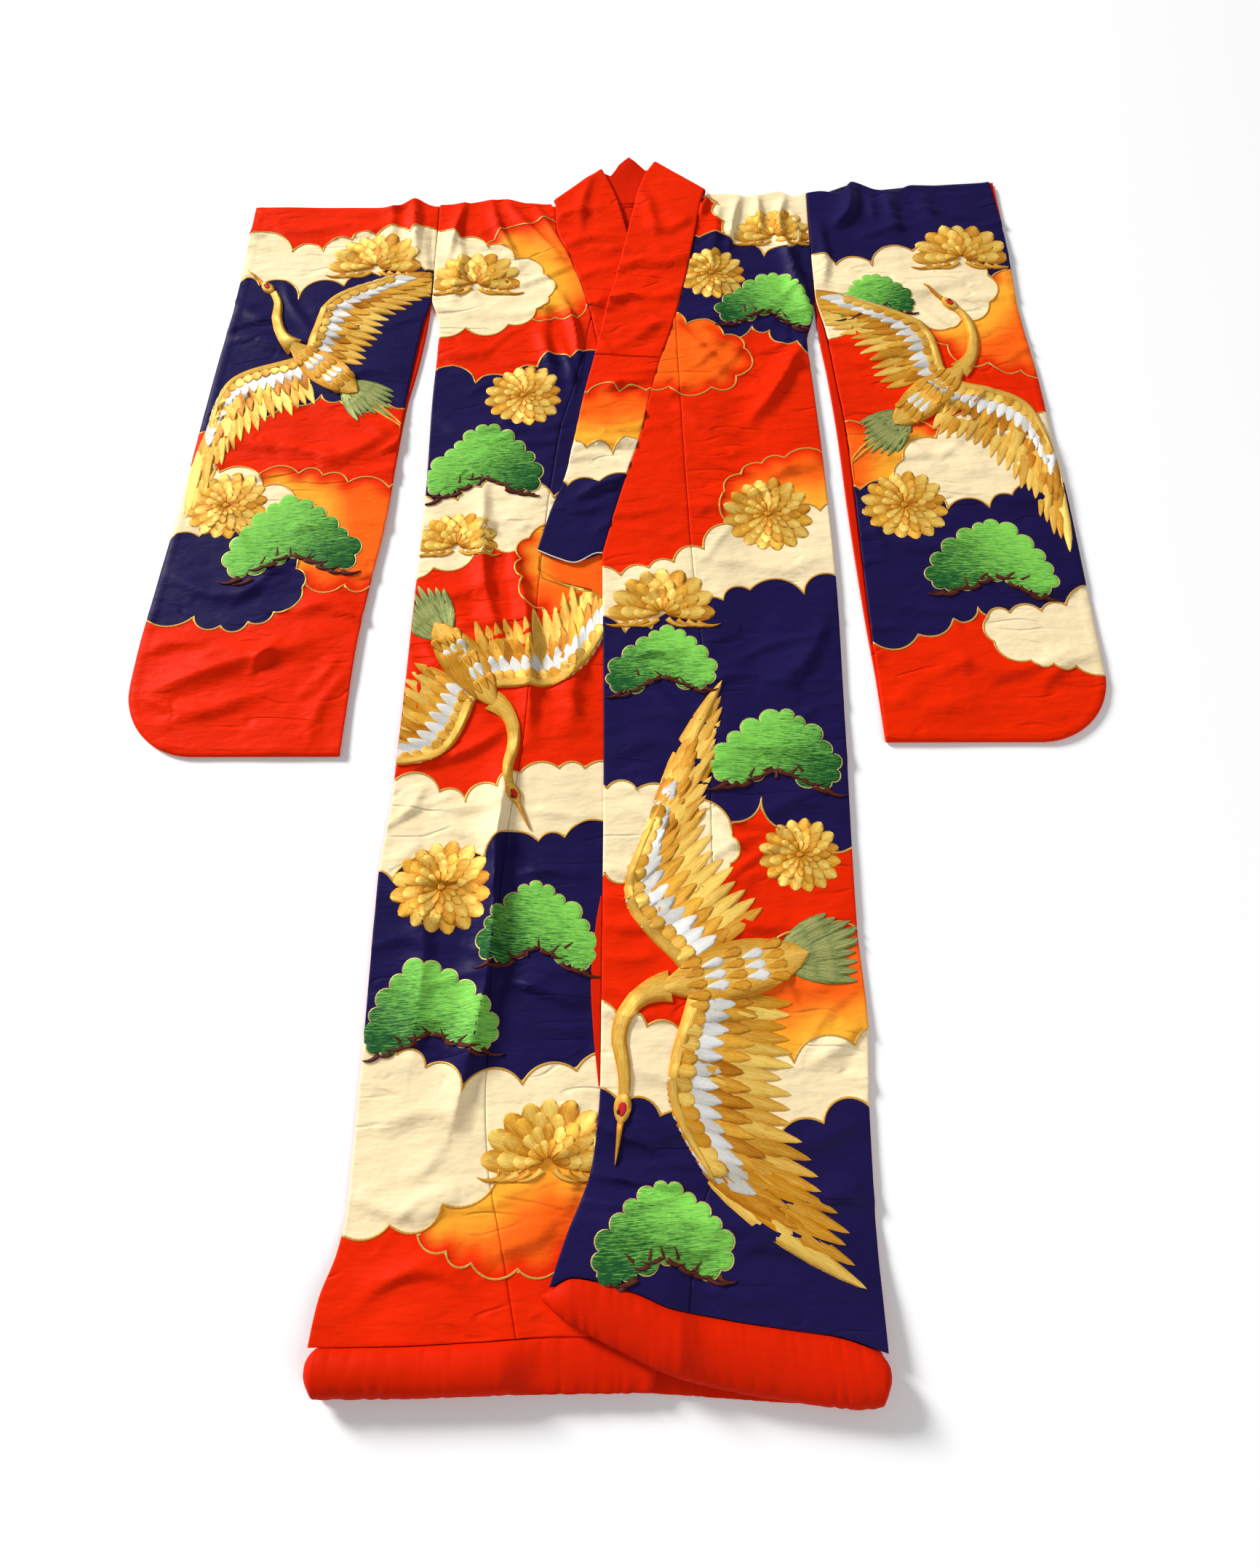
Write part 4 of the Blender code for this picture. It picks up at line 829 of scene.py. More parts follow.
LEFT = LEFT_COLLAR_SEAM, LEFT_COLLAR, left_collar_level, left_collar_relief
RIGHT = RIGHT_COLLAR_SEAM, RIGHT_COLLAR, right_collar_level, right_collar_relief
left_side, right_side = (collar_side(side, side[1][0, 0], OVER_COLLAR_END, OVER_COLLAR, 0.0)
                         for side in (LEFT, RIGHT))
left_turned, right_turned = (Row(rows[0].x, rows[0].down, 0.0, up=-1, thickness=OVER_COLLAR)
                             for rows in (left_side, right_side))
behind = [row_behind_neck(k) for k in np.linspace(1, len(NECKLINE) - 2, 17)]
layer("over_collar",
      [*left_side[::-1], *turn_over(left_side[0], left_turned, -1), left_turned, *behind,
       right_turned, *turn_over(right_side[0], right_turned, 1)[::-1], *right_side],
      OVER_COLLAR, "plain", (0.105, 0.93), every=5, rests_on=["left_body", "right_body"])
for name, side, group, under in (("left_collar", LEFT, "left_collar", "right_overlap"),
                                 ("right_collar", RIGHT, "plain", "right_body")):
    layer(name, collar_side(side, OVER_COLLAR_END, COLLAR_END, CLOTH, SEAM), CLOTH, group,
          (0.105, 0.38), every=5, rests_on=[under])

# The collar's lining, which shows behind the neck between its two sides: a thin wall of plain
# vermilion satin, its red darkened partly with painted shade, sewn to the collar just past the neck
# seam.
for row in behind:
    row.middle = row.middle[4:] + np.array((0.0, 0.0, OVER_COLLAR / 2 + GAP + LINING / 2))
    row.x, row.down, row.cloth_down = row.x[4:], row.down[4:], row.cloth_down[4:]
    row.face, row.lift = -row.face, COLLAR_FOLDS.height(row.x, row.down) * 0.3
layer("neck_lining", behind, LINING, "plain", (0.09, 0.19), lining, radius=0.001, every=5,
      rests_on=["over_collar"], area=0.009)


# The sleeves: flat bags, folded along the top, sewn down the outer side and along the
# bottom, with a rounded outer corner. The inner side and the wrist are left open.
# Rows: down on the inner side, inner x above and below, outer x and down, wrist set back
RIGHT_SLEEVE = table(6,
    17, -320.9, -320.9, -643, 16, 0, 110, -320.9, -320.9, -646, 110, 0,
    225, -320.9, -320.9, -651, 225, 0, 280, -331, -323.5, -656, 280, 0,
    360, -340.5, -332, -664, 360, 0, 454, -349, -346.5, -672, 460, 0,
    652, -360, -363, -687, 660, 0, 780, -376, -379, -700, 790, 0,
    883, -387.5, -390.5, -709, 890, 0, 950, -391, -394, -711.5, 950, 0,
    1058, -395, -398, -711.5, 1058, 0)
LEFT_SLEEVE = table(6,
    -8, 320.9, 320.9, 650, -31, 7.5, 110, 320.9, 320.9, 655.5, 105, 1,
    225, 322.5, 320.9, 656.6, 225, 0, 300, 335.5, 323, 662, 300, 0, 392, 345, 332.5, 672, 392, 0,
    510, 356, 341.5, 679, 510, 0, 650, 361, 348, 689, 650, 0, 850, 367, 361, 696, 850, 0,
    940, 371.5, 369, 699.5, 940, 0, 1038, 375, 375, 699.5, 1038, 0)
WRIST_OPENING, SLEEVE_CORNER = 0.230, 0.105
SLEEVE_HEIGHT = 2 * CLOTH + 2 * GAP
SEAM_ROUND, OPEN_ROUND = 0.006, 0.003       # how far in a closed and an open edge are rounded
HEM_TURN = np.array([0.0100, 0.0032, 0.0016])       # a hem's points inside the sleeve
INSIDE_GAP = 0.0001         # where a sleeve's two walls end inside it, they all but meet
TIGHT = 0.05                # how much of that a sewn side keeps, where there is no hem
WRIST_END = 0.008           # the wrist opens and closes over this length, each way
WRIST_FREE = 0.020          # a depth past SEAM_ROUND, so that nothing closes the wrist
ABOVE, BELOW = int(0.32 / GRID), int(0.16 / GRID)       # columns between a row's edges
RIGHT_SLEEVE_FOLDS = Folds((
    (14, 12.6, -365, -5, -358, 70, -350, 150), (13, 7, -400, 10, -395, 110),
    (20, 9.8, -680, 960, -570, 915, -450, 880), (16, 7, -660, 1010, -580, 985, -500, 950),
    (18, 7, -480, 560, -420, 540, -370, 500), (9, 5.6, -330, 30, -336, 100, -330, 190),
    (14, 4.2, -620, 60, -560, 80, -470, 60), (14, 4.9, -640, 310, -560, 330, -480, 300),
    (13, 4.9, -470, 400, -410, 380, -350, 390), (13, 4.2, -670, 540, -620, 520, -550, 535),
    (16, 5.6, -690, 760, -600, 800, -500, 770), (12, 4.2, -480, 830, -430, 810, -395, 830),
    (12, 4.2, -440, 1040, -430, 980, -400, 930), (12, 4.2, -700, 900, -660, 880, -610, 880),
), small_creases(64, 62, (-0.68, -0.36), (0.02, 1.00)))
LEFT_SLEEVE_FOLDS = Folds((
    (14, 12.6, 402, -30, 392, 40, 360, 80), (16, 8.4, 460, -10, 470, 100),
    (15, 11.2, 465, 390, 517, 455, 561, 495), (16, 8.4, 570, 505, 620, 515, 660, 530),
    (20, 7, 420, 880, 510, 920, 600, 940), (9, 7, 430, -10, 432, 60),
    (14, 5.6, 520, 0, 540, 70, 600, 110), (10, 7, 335, 60, 345, 140, 336, 210),
    (15, 4.9, 400, 190, 480, 220, 560, 200), (14, 4.9, 360, 330, 420, 350, 500, 340),
    (13, 4.2, 380, 480, 430, 500, 480, 560), (15, 5.6, 540, 620, 610, 640, 680, 620),
    (15, 4.9, 380, 700, 450, 720, 540, 710), (14, 4.9, 560, 780, 620, 800, 690, 780),
    (13, 5.6, 600, 960, 640, 920, 690, 900), (13, 4.2, 390, 970, 450, 990, 520, 985),
), small_creases(65, 62, (0.36, 0.68), (0.02, 1.00)))


def closed_depth(sleeve_table, x, down):
    """Distance in from a sleeve's outer seam, its round corner and its bottom."""
    sign = 1 if sleeve_table[0, 1] > 0 else -1
    side = sign * (curve(sleeve_table, down, 3) - x)
    bottom = sleeve_table[-1, 0] - down
    corner = SLEEVE_CORNER - np.hypot(np.maximum(SLEEVE_CORNER - side, 0),
                                      np.maximum(SLEEVE_CORNER - bottom, 0))
    return np.minimum(np.minimum(side, bottom), corner)


def sleeve_relief(sleeve_table, folds, seed):
    """A sleeve's folds, its unevenness, and the ridge of the seam allowance inside it."""

    def relief(x, down):
        depth = closed_depth(sleeve_table, x, down)
        ridge = 0.0009 * np.exp(-((depth - 0.011) / 0.0022) ** 2)
        return folds.height(x, down) + swell(x, down, seed, 0.15, 0.0024) + ridge

    return relief


def sleeve_wall(sleeve_table, relief, key, cut, up):
    """A row of a sleeve's upper or lower wall, with a hem turned in at each open edge."""
    sign = 1 if sleeve_table[0, 1] > 0 else -1
    first, last, half = sleeve_table[0, 0], sleeve_table[-1, 0], SLEEVE_HEIGHT / 2
    wrist = 1 - smooth(WRIST_OPENING - WRIST_END, WRIST_OPENING + WRIST_END, key)
    set_back = curve(sleeve_table, key, 5) if up > 0 else 0.0
    outer = curve(sleeve_table, key, 3) - sign * (cut + set_back)
    inner = curve(sleeve_table, key, 1 if up > 0 else 2)
    width = abs(outer - inner)
    t = columns(width, ABOVE if up > 0 else BELOW)
    under = HEM_TURN / width
    every = np.concatenate((under * mix(TIGHT, 1.0, wrist), t, 1 - under[::-1]))
    x, down = mix(outer, inner, every), mix(curve(sleeve_table, key, 4), key, every)
    if key < SHOULDER_REACH:
        down = down - shoulder_shift(x, inner, outer, key)
    far, near = every * width, (1 - every) * width
    sewn = closed_depth(sleeve_table, x, key) + wrist * WRIST_FREE
    closed = half_round(np.minimum(sewn, min(last - key, key - first)) / SEAM_ROUND)
    loose = half_round(near / OPEN_ROUND) * mix(1.0, half_round(far / OPEN_ROUND), wrist)
    inside = np.repeat((1.0, 0.0, 1.0), (len(under), len(t), len(under)))
    lift = relief(x, down) if up > 0 else 0.0
    wall = np.where(inside, CLOTH / 2 * (1 - loose), CLOTH / 2 * (1 + loose) + lift)
    z = half + up * closed * (GAP + wall)
    z[0] = z[-1] = half + up * INSIDE_GAP / 2
    row = place(x, down, z), x, down if up > 0 else 2 * first - down, inside
    return row if up > 0 else tuple(values[::-1] for values in row)


def sleeve(name, sleeve_table, relief):
    first, last = sleeve_table[0, 0], sleeve_table[-1, 0]
    turns = np.linspace(0, pi / 2, 27)[:-1]
    keys = np.concatenate((first + np.array([0.0003, 0.0010, 0.0022, 0.0040, 0.0065]),
                           row_downs(first + 0.010, last - SLEEVE_CORNER)[:-1],
                           last - SLEEVE_CORNER * (1 - np.sin(turns)), [last - 0.0003]))
    cuts = SLEEVE_CORNER - np.sqrt(np.maximum(
        SLEEVE_CORNER ** 2 - np.maximum(SLEEVE_CORNER - (last - keys), 0) ** 2, 0))
    rings = [[np.concatenate(pair) for pair in zip(
        *(sleeve_wall(sleeve_table, relief, key, cut, up) for up in (1, -1)))]
             for key, cut in zip(keys, cuts)]
    slit = 2 * len(HEM_TURN) + ABOVE + 2 * len(EDGE_STEPS) - 1
    sew(name + "_cloth", name, rings, ribs(len(rings), len(rings[0][1]), slit), name, figured,
        (0.66, 1.05), area=0.66)


right_sleeve_relief = sleeve_relief(RIGHT_SLEEVE, RIGHT_SLEEVE_FOLDS, 31)
left_sleeve_relief = sleeve_relief(LEFT_SLEEVE, LEFT_SLEEVE_FOLDS, 32)
sleeve("right_sleeve", RIGHT_SLEEVE, right_sleeve_relief)
sleeve("left_sleeve", LEFT_SLEEVE, left_sleeve_relief)


# Linings that show: in the sleeves' open inner sides and left wrist, and at the left
# front's free edge, where the lining rolls out a little.
FURI_GAP = 0.0010       # how far a sleeve's lining stays in from the cloth


def strip(name, rows, level, under):
    """A narrow piece of lining, through rows of down, x and other x."""
    first, last = rows[0, 0], rows[-1, 0]
    fine = np.linspace(first, last, max(12, int((last - first) / 0.006)))
    laid = []
    for down in fine:
        x = mix(curve(rows, down, 1), curve(rows, down, 2), np.linspace(0, 1, 13))
        row = Row(x, 0 * x + down, level, thickness=LINING,
                  end=min(down - first, last - down) + GAP)
        row.lift = swell(x, down, 41, 0.03, 0.0006)
        laid.append(row)
    width = float(np.mean([np.ptp(row.x) for row in laid]))
    length = float(last - first)
    layer(name, laid, LINING, "plain", (max(0.01, width), length), lining, radius=0.0010,
          every=4, rests_on=[under], area=max(width, 0.0031) * length)


for name, rows, sign, ends, under in (
        ("right_sleeve_lining", RIGHT_SLEEVE, 1, (0.250, 0.425), "right_sleeve"),
        ("left_sleeve_lining", LEFT_SLEEVE, -1, (0.245, 0.880), "left_sleeve")):
    downs = np.linspace(*ends, 14)
    strip(name, np.stack((downs, curve(rows, downs, 1) + sign * FURI_GAP,
                          curve(rows, downs, 2) - sign * FURI_GAP), -1), CLOTH + GAP, under)
wrist_down, outer, set_back = (curve(LEFT_SLEEVE, np.array([0.000, 0.030, 0.060, 0.085]), k)
                               for k in (4, 3, 5))
strip("left_cuff_lining", np.stack((wrist_down, outer - set_back + FURI_GAP,
                                    outer - FURI_GAP / 2), -1), CLOTH + GAP, "left_sleeve")
strip("front_edge_lining", table(3, 1262, -22.6, -24.5, 1300, -22.6, -30.5, 1375, -22.6, -36,
                                 1440, -22.6, -32, 1508, -22.8, -24.5),
      FRONT_LEVEL + OVERLAP_RISE_LOW, "right_overlap")


# The hem rolls: the lining turned up over floss silk and sewn along the hem, so that it
# swells below the cloth. Its gathers are deepest at the corners.
FREE_BULGE = 1.9            # how much higher a roll swells where it lies free, as a share
HIGHEST_CROWN = 0.0475      # and no higher than this over the floor
SEAM_PINCH, EDGE_PINCH = 0.30, 0.34     # how far gathers go across, of a roll's half width
PINCH_DEPTH, UNEVENNESS, SAG = 0.75, 0.15, 0.0018
# The back's, the right front's and the left front's roll: x, down of its lower edge,
# underside, and fullness in thousandths
ON_BACK = 1000 * (BACK_ROLL + GAP)
ON_BOTH = ON_BACK + 1000 * (HEM_ROLL + GAP)
BACK_HEM = table(4, -352, 1853, 0, 750, -343, 1857, 0, 1000, -255, 1854, 0, 1000,
                 0, 1849, 0, 1000, 206, 1859, 0, 1000, 298, 1861, 0, 1000, 310, 1852, 0, 750)
RIGHT_FRONT_HEM = table(4, -357.5, 1850, ON_BACK, 600, -345, 1856, ON_BACK, 1000,
                        -255, 1855, ON_BACK, 1000, -100, 1850, ON_BACK, 1000,
                        34, 1848, ON_BACK, 1000, 46.5, 1846, ON_BACK, 700)
LEFT_FRONT_HEM = table(4, -86, 1758, ON_BOTH, 450, -68, 1768, ON_BOTH, 960,
                       -50, 1779, ON_BOTH, 1000, 2, 1803, ON_BOTH, 1000,
                       52, 1825, ON_BOTH, 1000, 110, 1842, ON_BACK, 1000,
                       206, 1857, ON_BACK, 1000, 285, 1864, ON_BACK, 1000,
                       302, 1862, ON_BACK, 950, 313.5, 1850, ON_BACK, 600)


def gathers(x, seed, first, last, spacing=0.016, reach=0.10):
    """Small creases across a roll, at uneven places, deeper towards its ends."""
    rng = np.random.default_rng(seed)
    total, here = np.zeros(len(x)), first + 0.006
    while here < last:
        near_end = np.exp(-min(here - first, last - here) / reach)
        deep = rng.uniform(0.15, 1.0) * (0.35 + 0.65 * near_end)
        total += deep * np.exp(-((x - here) / rng.uniform(0.0024, 0.0060)) ** 2)
        here += rng.uniform(0.4, 1.6) * spacing
    return total


def hem_roll(name, hem_seam, rows, height, seed, free):
    """A padded roll along a hem, which swells up where it lies free."""
    first, last = rows[0, 0], rows[-1, 0]
    xs = np.concatenate((first + EDGE_STEPS, np.arange(first + 0.009, last - 0.009, GRID * 0.4),
                         last - EDGE_STEPS[::-1]))
    at_seam, at_edge = (gathers(xs, seed + k, first, last) for k in (0, 1))
    lay_over = swell(xs, 0.0, seed + 2, 0.11, 1.0) - 0.5
    rings = []
    turns = np.linspace(0, 2 * pi, 37)[:-1]
    across, round_up = -np.cos(turns), np.sin(turns)
    round_up = np.sign(round_up) * np.abs(round_up) ** 0.95
    for k, x in enumerate(xs):
        lower, under, full = (curve(rows, x, column) for column in (1, 2, 3))
        full = full * (0.55 + 0.45 * half_round(min(x - first, last - x) / 0.006))
        pinch = (at_seam[k] * np.exp(-(across + 1) / SEAM_PINCH)
                 + at_edge[k] * np.exp(-(1 - across) / EDGE_PINCH))
        room = (HIGHEST_CROWN - under) / (height / 2) - 2
        bulge = min(FREE_BULGE, room) * smooth(*free, x) if free else 0.0
        lift = bulge - PINCH_DEPTH * pinch - UNEVENNESS * lay_over[k]
        sag = SAG * at_edge[k] * (across > 0.5)
        down = mix(curve(hem_seam, x), lower - sag, 0.5 + 0.5 * across * full)
        rise = round_up * full * (1 + lift * (round_up > 0))
        rings.append(place(x, down, under + height / 2 * (1 + rise)))
    # The roll's darker vermilion is partly painted shade, standing in for the shade on its rounded
    # sides.
    piece = make(name + "_roll", np.vstack(rings), ribs(len(rings), len(turns)), lining)
    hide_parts(name)


hem_roll("back_hem", np.array(((-1, HEM), (1, HEM))), BACK_HEM, BACK_ROLL, 51, None)
hem_roll("right_front_hem", RIGHT_HEM, RIGHT_FRONT_HEM, HEM_ROLL, 54, (-0.085, -0.135))
hem_roll("left_front_hem", LEFT_HEM, LEFT_FRONT_HEM, HEM_ROLL, 57, (-0.088, -0.050))


# Gold cord, couched along the edge of every cloud: a flat bundle of gilt threads laid on
# the satin and held down by small stitches of yellow silk across it.
UPPER_FACES = {"left": (left_level, left_relief), "right": (right_level, right_relief),
               "left_collar": (left_collar_level, left_collar_relief),
               "left_sleeve": (lambda x, down: SLEEVE_HEIGHT - CLOTH, left_sleeve_relief),
               "right_sleeve": (lambda x, down: SLEEVE_HEIGHT - CLOTH, right_sleeve_relief)}


def top_of(group, x, down):
    """Height of the cloth's upper face at a place of a front, a sleeve or the collar."""
    level, relief = UPPER_FACES[group]
    return level(x, down) + CLOTH + relief(x, down)


CLEAR = 0.004       # how far embroidery keeps from some edges, or goes on below a layer


def limits(group, down):
    """The least and greatest x that a group's front face has, level with a place."""
    if group == "left":
        inner = np.where(down < COLLAR_END, curve(LEFT_COLLAR_SEAM, down),
                         curve(LEFT_FREE_EDGE, down))
        return inner, curve(LEFT_SIDE, down)
    if group == "right":
        inner = np.minimum(curve(RIGHT_COLLAR_SEAM, down), curve(COVER, down) + CLEAR)
        return curve(RIGHT_SIDE, down), inner
    if group == "left_collar":
        return curve(LEFT_COLLAR[:, [2, 1]], down), curve(LEFT_COLLAR_SEAM, down)
    if group == "left_sleeve":
        return (curve(LEFT_SLEEVE, down, 1),
                curve(LEFT_SLEEVE, down, 3) - curve(LEFT_SLEEVE, down, 5) - CLEAR)
    return curve(RIGHT_SLEEVE, down, 3) + CLEAR, curve(RIGHT_SLEEVE, down, 1)


def on_cloth(group, x, down, margin=0.0015):
    """Which places lie on a group's front face, a margin in from its edges."""
    low, high = limits(group, down)
    inside = (x > low + margin) & (x < high - margin) & (down > 0.005 - curve(SHOULDER, x))
    if group in ("left", "right"):
        return inside & (down < curve(LEFT_HEM if group == "left" else RIGHT_HEM, x) - CLEAR)
    if group == "left_collar":
        return inside & (down > OVER_COLLAR_END + 0.006) & (down < COLLAR_END - 0.012)
    sleeve_table = LEFT_SLEEVE if group == "left_sleeve" else RIGHT_SLEEVE
    return inside & (closed_depth(sleeve_table, x, down) > SEAM_ROUND)


cord_lines = {"gold": [], "pale": []}


def lay_cord(colour, group, line, shown):
    """Adds the shown stretches of a closed line on the cloth to a colour's cords."""
    if shown.all():
        line, shown = np.vstack((line, line[:1])), np.append(shown, True)
    elif shown.any():
        start = int(np.flatnonzero(~shown)[0])
        line, shown = np.roll(line, -start, axis=0), np.roll(shown, -start)
    ends = np.flatnonzero(np.diff(np.concatenate(([0], shown.astype(int), [0]))))
    for first, last in ends.reshape(-1, 2):
        if last - first > 2:
            x, down = line[first:last].T
            cord_lines[colour].append(place(x, down, top_of(group, x, down) + GAP))


for group, clouds in CLOUDS.items():
    for k, (dye, line) in enumerate(clouds):
        shown = on_cloth(group, *line.T)
        for _, later in clouds[k + 1:]:
            shown &= depth_in(later, *line.T, reach=0.01) < 0.0
        lay_cord("gold", group, line, shown)


class Tree(Nodes):
    """A Geometry Nodes tree with named inputs."""

    def __init__(self, name, **inputs):
        self.tree, self.sockets = bpy.data.node_groups.new(name, "GeometryNodeTree"), {}
        face = self.tree.interface
        face.new_socket("Geometry", in_out="INPUT", socket_type="NodeSocketGeometry")
        for key, value in inputs.items():
            kind = "NodeSocketMaterial" if value is None else "NodeSocketFloat"
            socket = face.new_socket(key, in_out="INPUT", socket_type=kind)
            if value is not None:
                socket.default_value = value
            self.sockets[key] = socket.identifier
        face.new_socket("Geometry", in_out="OUTPUT", socket_type="NodeSocketGeometry")
        start = self.tree.nodes.new("NodeGroupInput")
        self.input = {socket.name: Wire(self, socket) for socket in start.outputs}

    def finish(self, geometry):
        realized = self.node("GeometryNodeRealizeInstances", {}, geometry)
        finished = self.node("GeometryNodeSetMaterial", {}, realized,
                             Material=self.input["Finish"])
        self.put(self.tree.nodes.new("NodeGroupOutput").inputs[0], finished)

    def run(self, name, lines, **values):
        """The tree's result on some lines, as a plain piece."""
        starts = np.cumsum([0] + [len(line) for line in lines])
        edges = [(k, k + 1) for first, last in zip(starts, starts[1:])
                 for k in range(first, last - 1)]
        path = bpy.data.meshes.new(name + "_path")
        path.from_pydata(np.vstack(lines).tolist(), edges, [])
        carrier = linked(name + "_path", path)
        modifier = carrier.modifiers.new("made", "NODES")
        modifier.node_group = self.tree
        for key, value in values.items():
            modifier[self.sockets[key]] = value
        shape = bpy.data.meshes.new_from_object(
            carrier.evaluated_get(bpy.context.evaluated_depsgraph_get()))
        bpy.data.objects.remove(carrier)
        bpy.data.meshes.remove(path)
        shape.name = name
        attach(linked(name, shape), "root")


cord = Tree("couched_cord", Width=0.0026, Height=0.0012, Finish=None)
path = cord.node("GeometryNodeMeshToCurve", {}, cord.input["Geometry"])
path = cord.node("GeometryNodeSetCurveNormal", {"mode": "Z_UP"}, path)
section = cord.node("GeometryNodeCurvePrimitiveCircle", Resolution=6, Radius=0.5)
flat_scale = cord.node("ShaderNodeCombineXYZ", {}, cord.input["Width"], cord.input["Height"],
                       1.0)
section = cord.node("GeometryNodeTransform", {}, section, Scale=flat_scale)
tube = cord.node("GeometryNodeCurveToMesh", {}, path, Profile_Curve=section, Fill_Caps=True)
cord.finish(cord.node("GeometryNodeSetShadeSmooth", {}, tube))


# Embroidery: pads of flat silk and gilt thread, each laid along its own direction and a
# little higher in the middle. Feathers, petals and twigs are sewn one over another.
SUNK = 0.0004       # a pad's rim stands so far above the cloth's face, its underside below
OFF_CLOTH = 0.45    # a pad with a greater share of its line past the cloth's edge is left out
PAD_MARGIN = 0.0012     # pads are cut off so far in from the cloth's edges


class Threads:
    """All the pads of one colour on one group, put together before they are draped."""

    def __init__(self):
        self.parts, self.faces, self.count = [], [], 0

    def add(self, above, below, tone, faces):
        """Points above and below: x, down, rise, along, across and tone. Those below get
        their rise and tone here."""
        below = below.copy()
        below[:, 2], below[:, 5] = -SUNK, tone
        self.faces += [tuple(k + self.count for k in face) for face in faces]
        self.count += len(above) + len(below)
        self.parts += [above, below]


pads = {}           # (colour, group): Threads


@cache
def pad_faces(n, m):
    """Faces of a closed pad: n rows by m columns above, two columns below."""
    faces = [(i * m + j, i * m + j + 1, (i + 1) * m + j + 1, (i + 1) * m + j)
             for i in range(n - 1) for j in range(m - 1)]
    low = n * m
    for i in range(n - 1):
        a, b = low + 2 * i, low + 2 * i + 2
        faces += [(a + 1, a, b, b + 1), (a, i * m, (i + 1) * m, b),
                  (i * m + m - 1, a + 1, b + 1, (i + 1) * m + m - 1)]
    return [*faces, (low, low + 1, *range(m - 1, -1, -1)),
            (low + 2 * n - 1, low + 2 * n - 2, *range((n - 1) * m, n * m))]


def pad(colour, group, line, half_widths, height=0.0011, tone=0.5, shaft=0.0, m=5, level=0.0,
        rim=0.35, fade=0.0):
    """A pad of thread along a line in the plan, of given half widths."""
    low, high = limits(group, line[:, 1])
    if np.mean((line[:, 0] < low) | (line[:, 0] > high)) > OFF_CLOTH:
        return
    run = np.gradient(line, axis=0)
    run /= np.maximum(np.hypot(*run.T), 1e-9)[:, None]
    out = np.stack((-run[:, 1], run[:, 0]), -1)
    s = np.linspace(-1, 1, m)
    along, across = distance_along(line)[:, None] + 0 * s, half_widths[:, None] * s
    far = along / along[-1]
    crown = np.sqrt(np.maximum(1 - s * s, 0)) * (1 - shaft * np.exp(-(s / 0.3) ** 2))
    ends = np.sqrt(np.minimum(1, 7 * np.minimum(far, 1 - far)))
    above = np.dstack((line[:, None] + out[:, None] * across[:, :, None],
                       SUNK + level + height * ends * crown, along, across,
                       tone - rim * s * s - fade * (1 - far)))
    pads.setdefault((colour, group), Threads()).add(
        above.reshape(-1, 6), above[:, [0, -1]].reshape(-1, 6), tone - rim,
        pad_faces(len(line), m))


SHAPES = {"feather": lambda t: np.sin(pi * (0.04 + 0.96 * t) ** 0.85) ** 0.62,
          "petal": lambda t: np.where(t < 0.66, np.maximum(t / 0.66, 0.001) ** 0.65, np.sqrt(
              np.maximum(1 - ((t - 0.66) / 0.34) ** 2, 0.0))),
          "twig": lambda t: np.maximum(1 - t, 0.0) ** 0.7}


def leaf(colour, group, root, heading, length, width, shape="feather", bend=0.0, **kept):
    """A feather, petal or twig from its root along a heading, which turns by bend."""
    t = np.linspace(0, 1, 9)
    if shape != "twig":
        t = (1 - np.cos(pi * t)) / 2
    turn = heading + bend * (t - 0.5)
    steps = np.stack((np.cos(turn), -np.sin(turn)), -1) * np.diff(t, prepend=0.0)[:, None]
    pad(colour, group, np.array(root) + length * np.cumsum(steps, axis=0),
        np.maximum(width / 2 * SHAPES[shape](t), 0.00025), **kept)


# Pine boughs: a low green crown of satin stitch that runs level, darker on one side, edged
# with pale gold, on brown twigs.
# Rows: across and down as parts of a crown's width and height, and how far its lean counts
CROWN = table(3, -500, 140, 0, -470, -140, 0, -360, -420, 400, -190, -740, 800,
              0, -960, 1000, 190, -760, 800, 360, -440, 400, 470, -140, 0, 500, 140, 0,
              340, 250, 0, 150, 60, 0, 20, -100, 0, -130, 60, 0, -330, 250, 0)


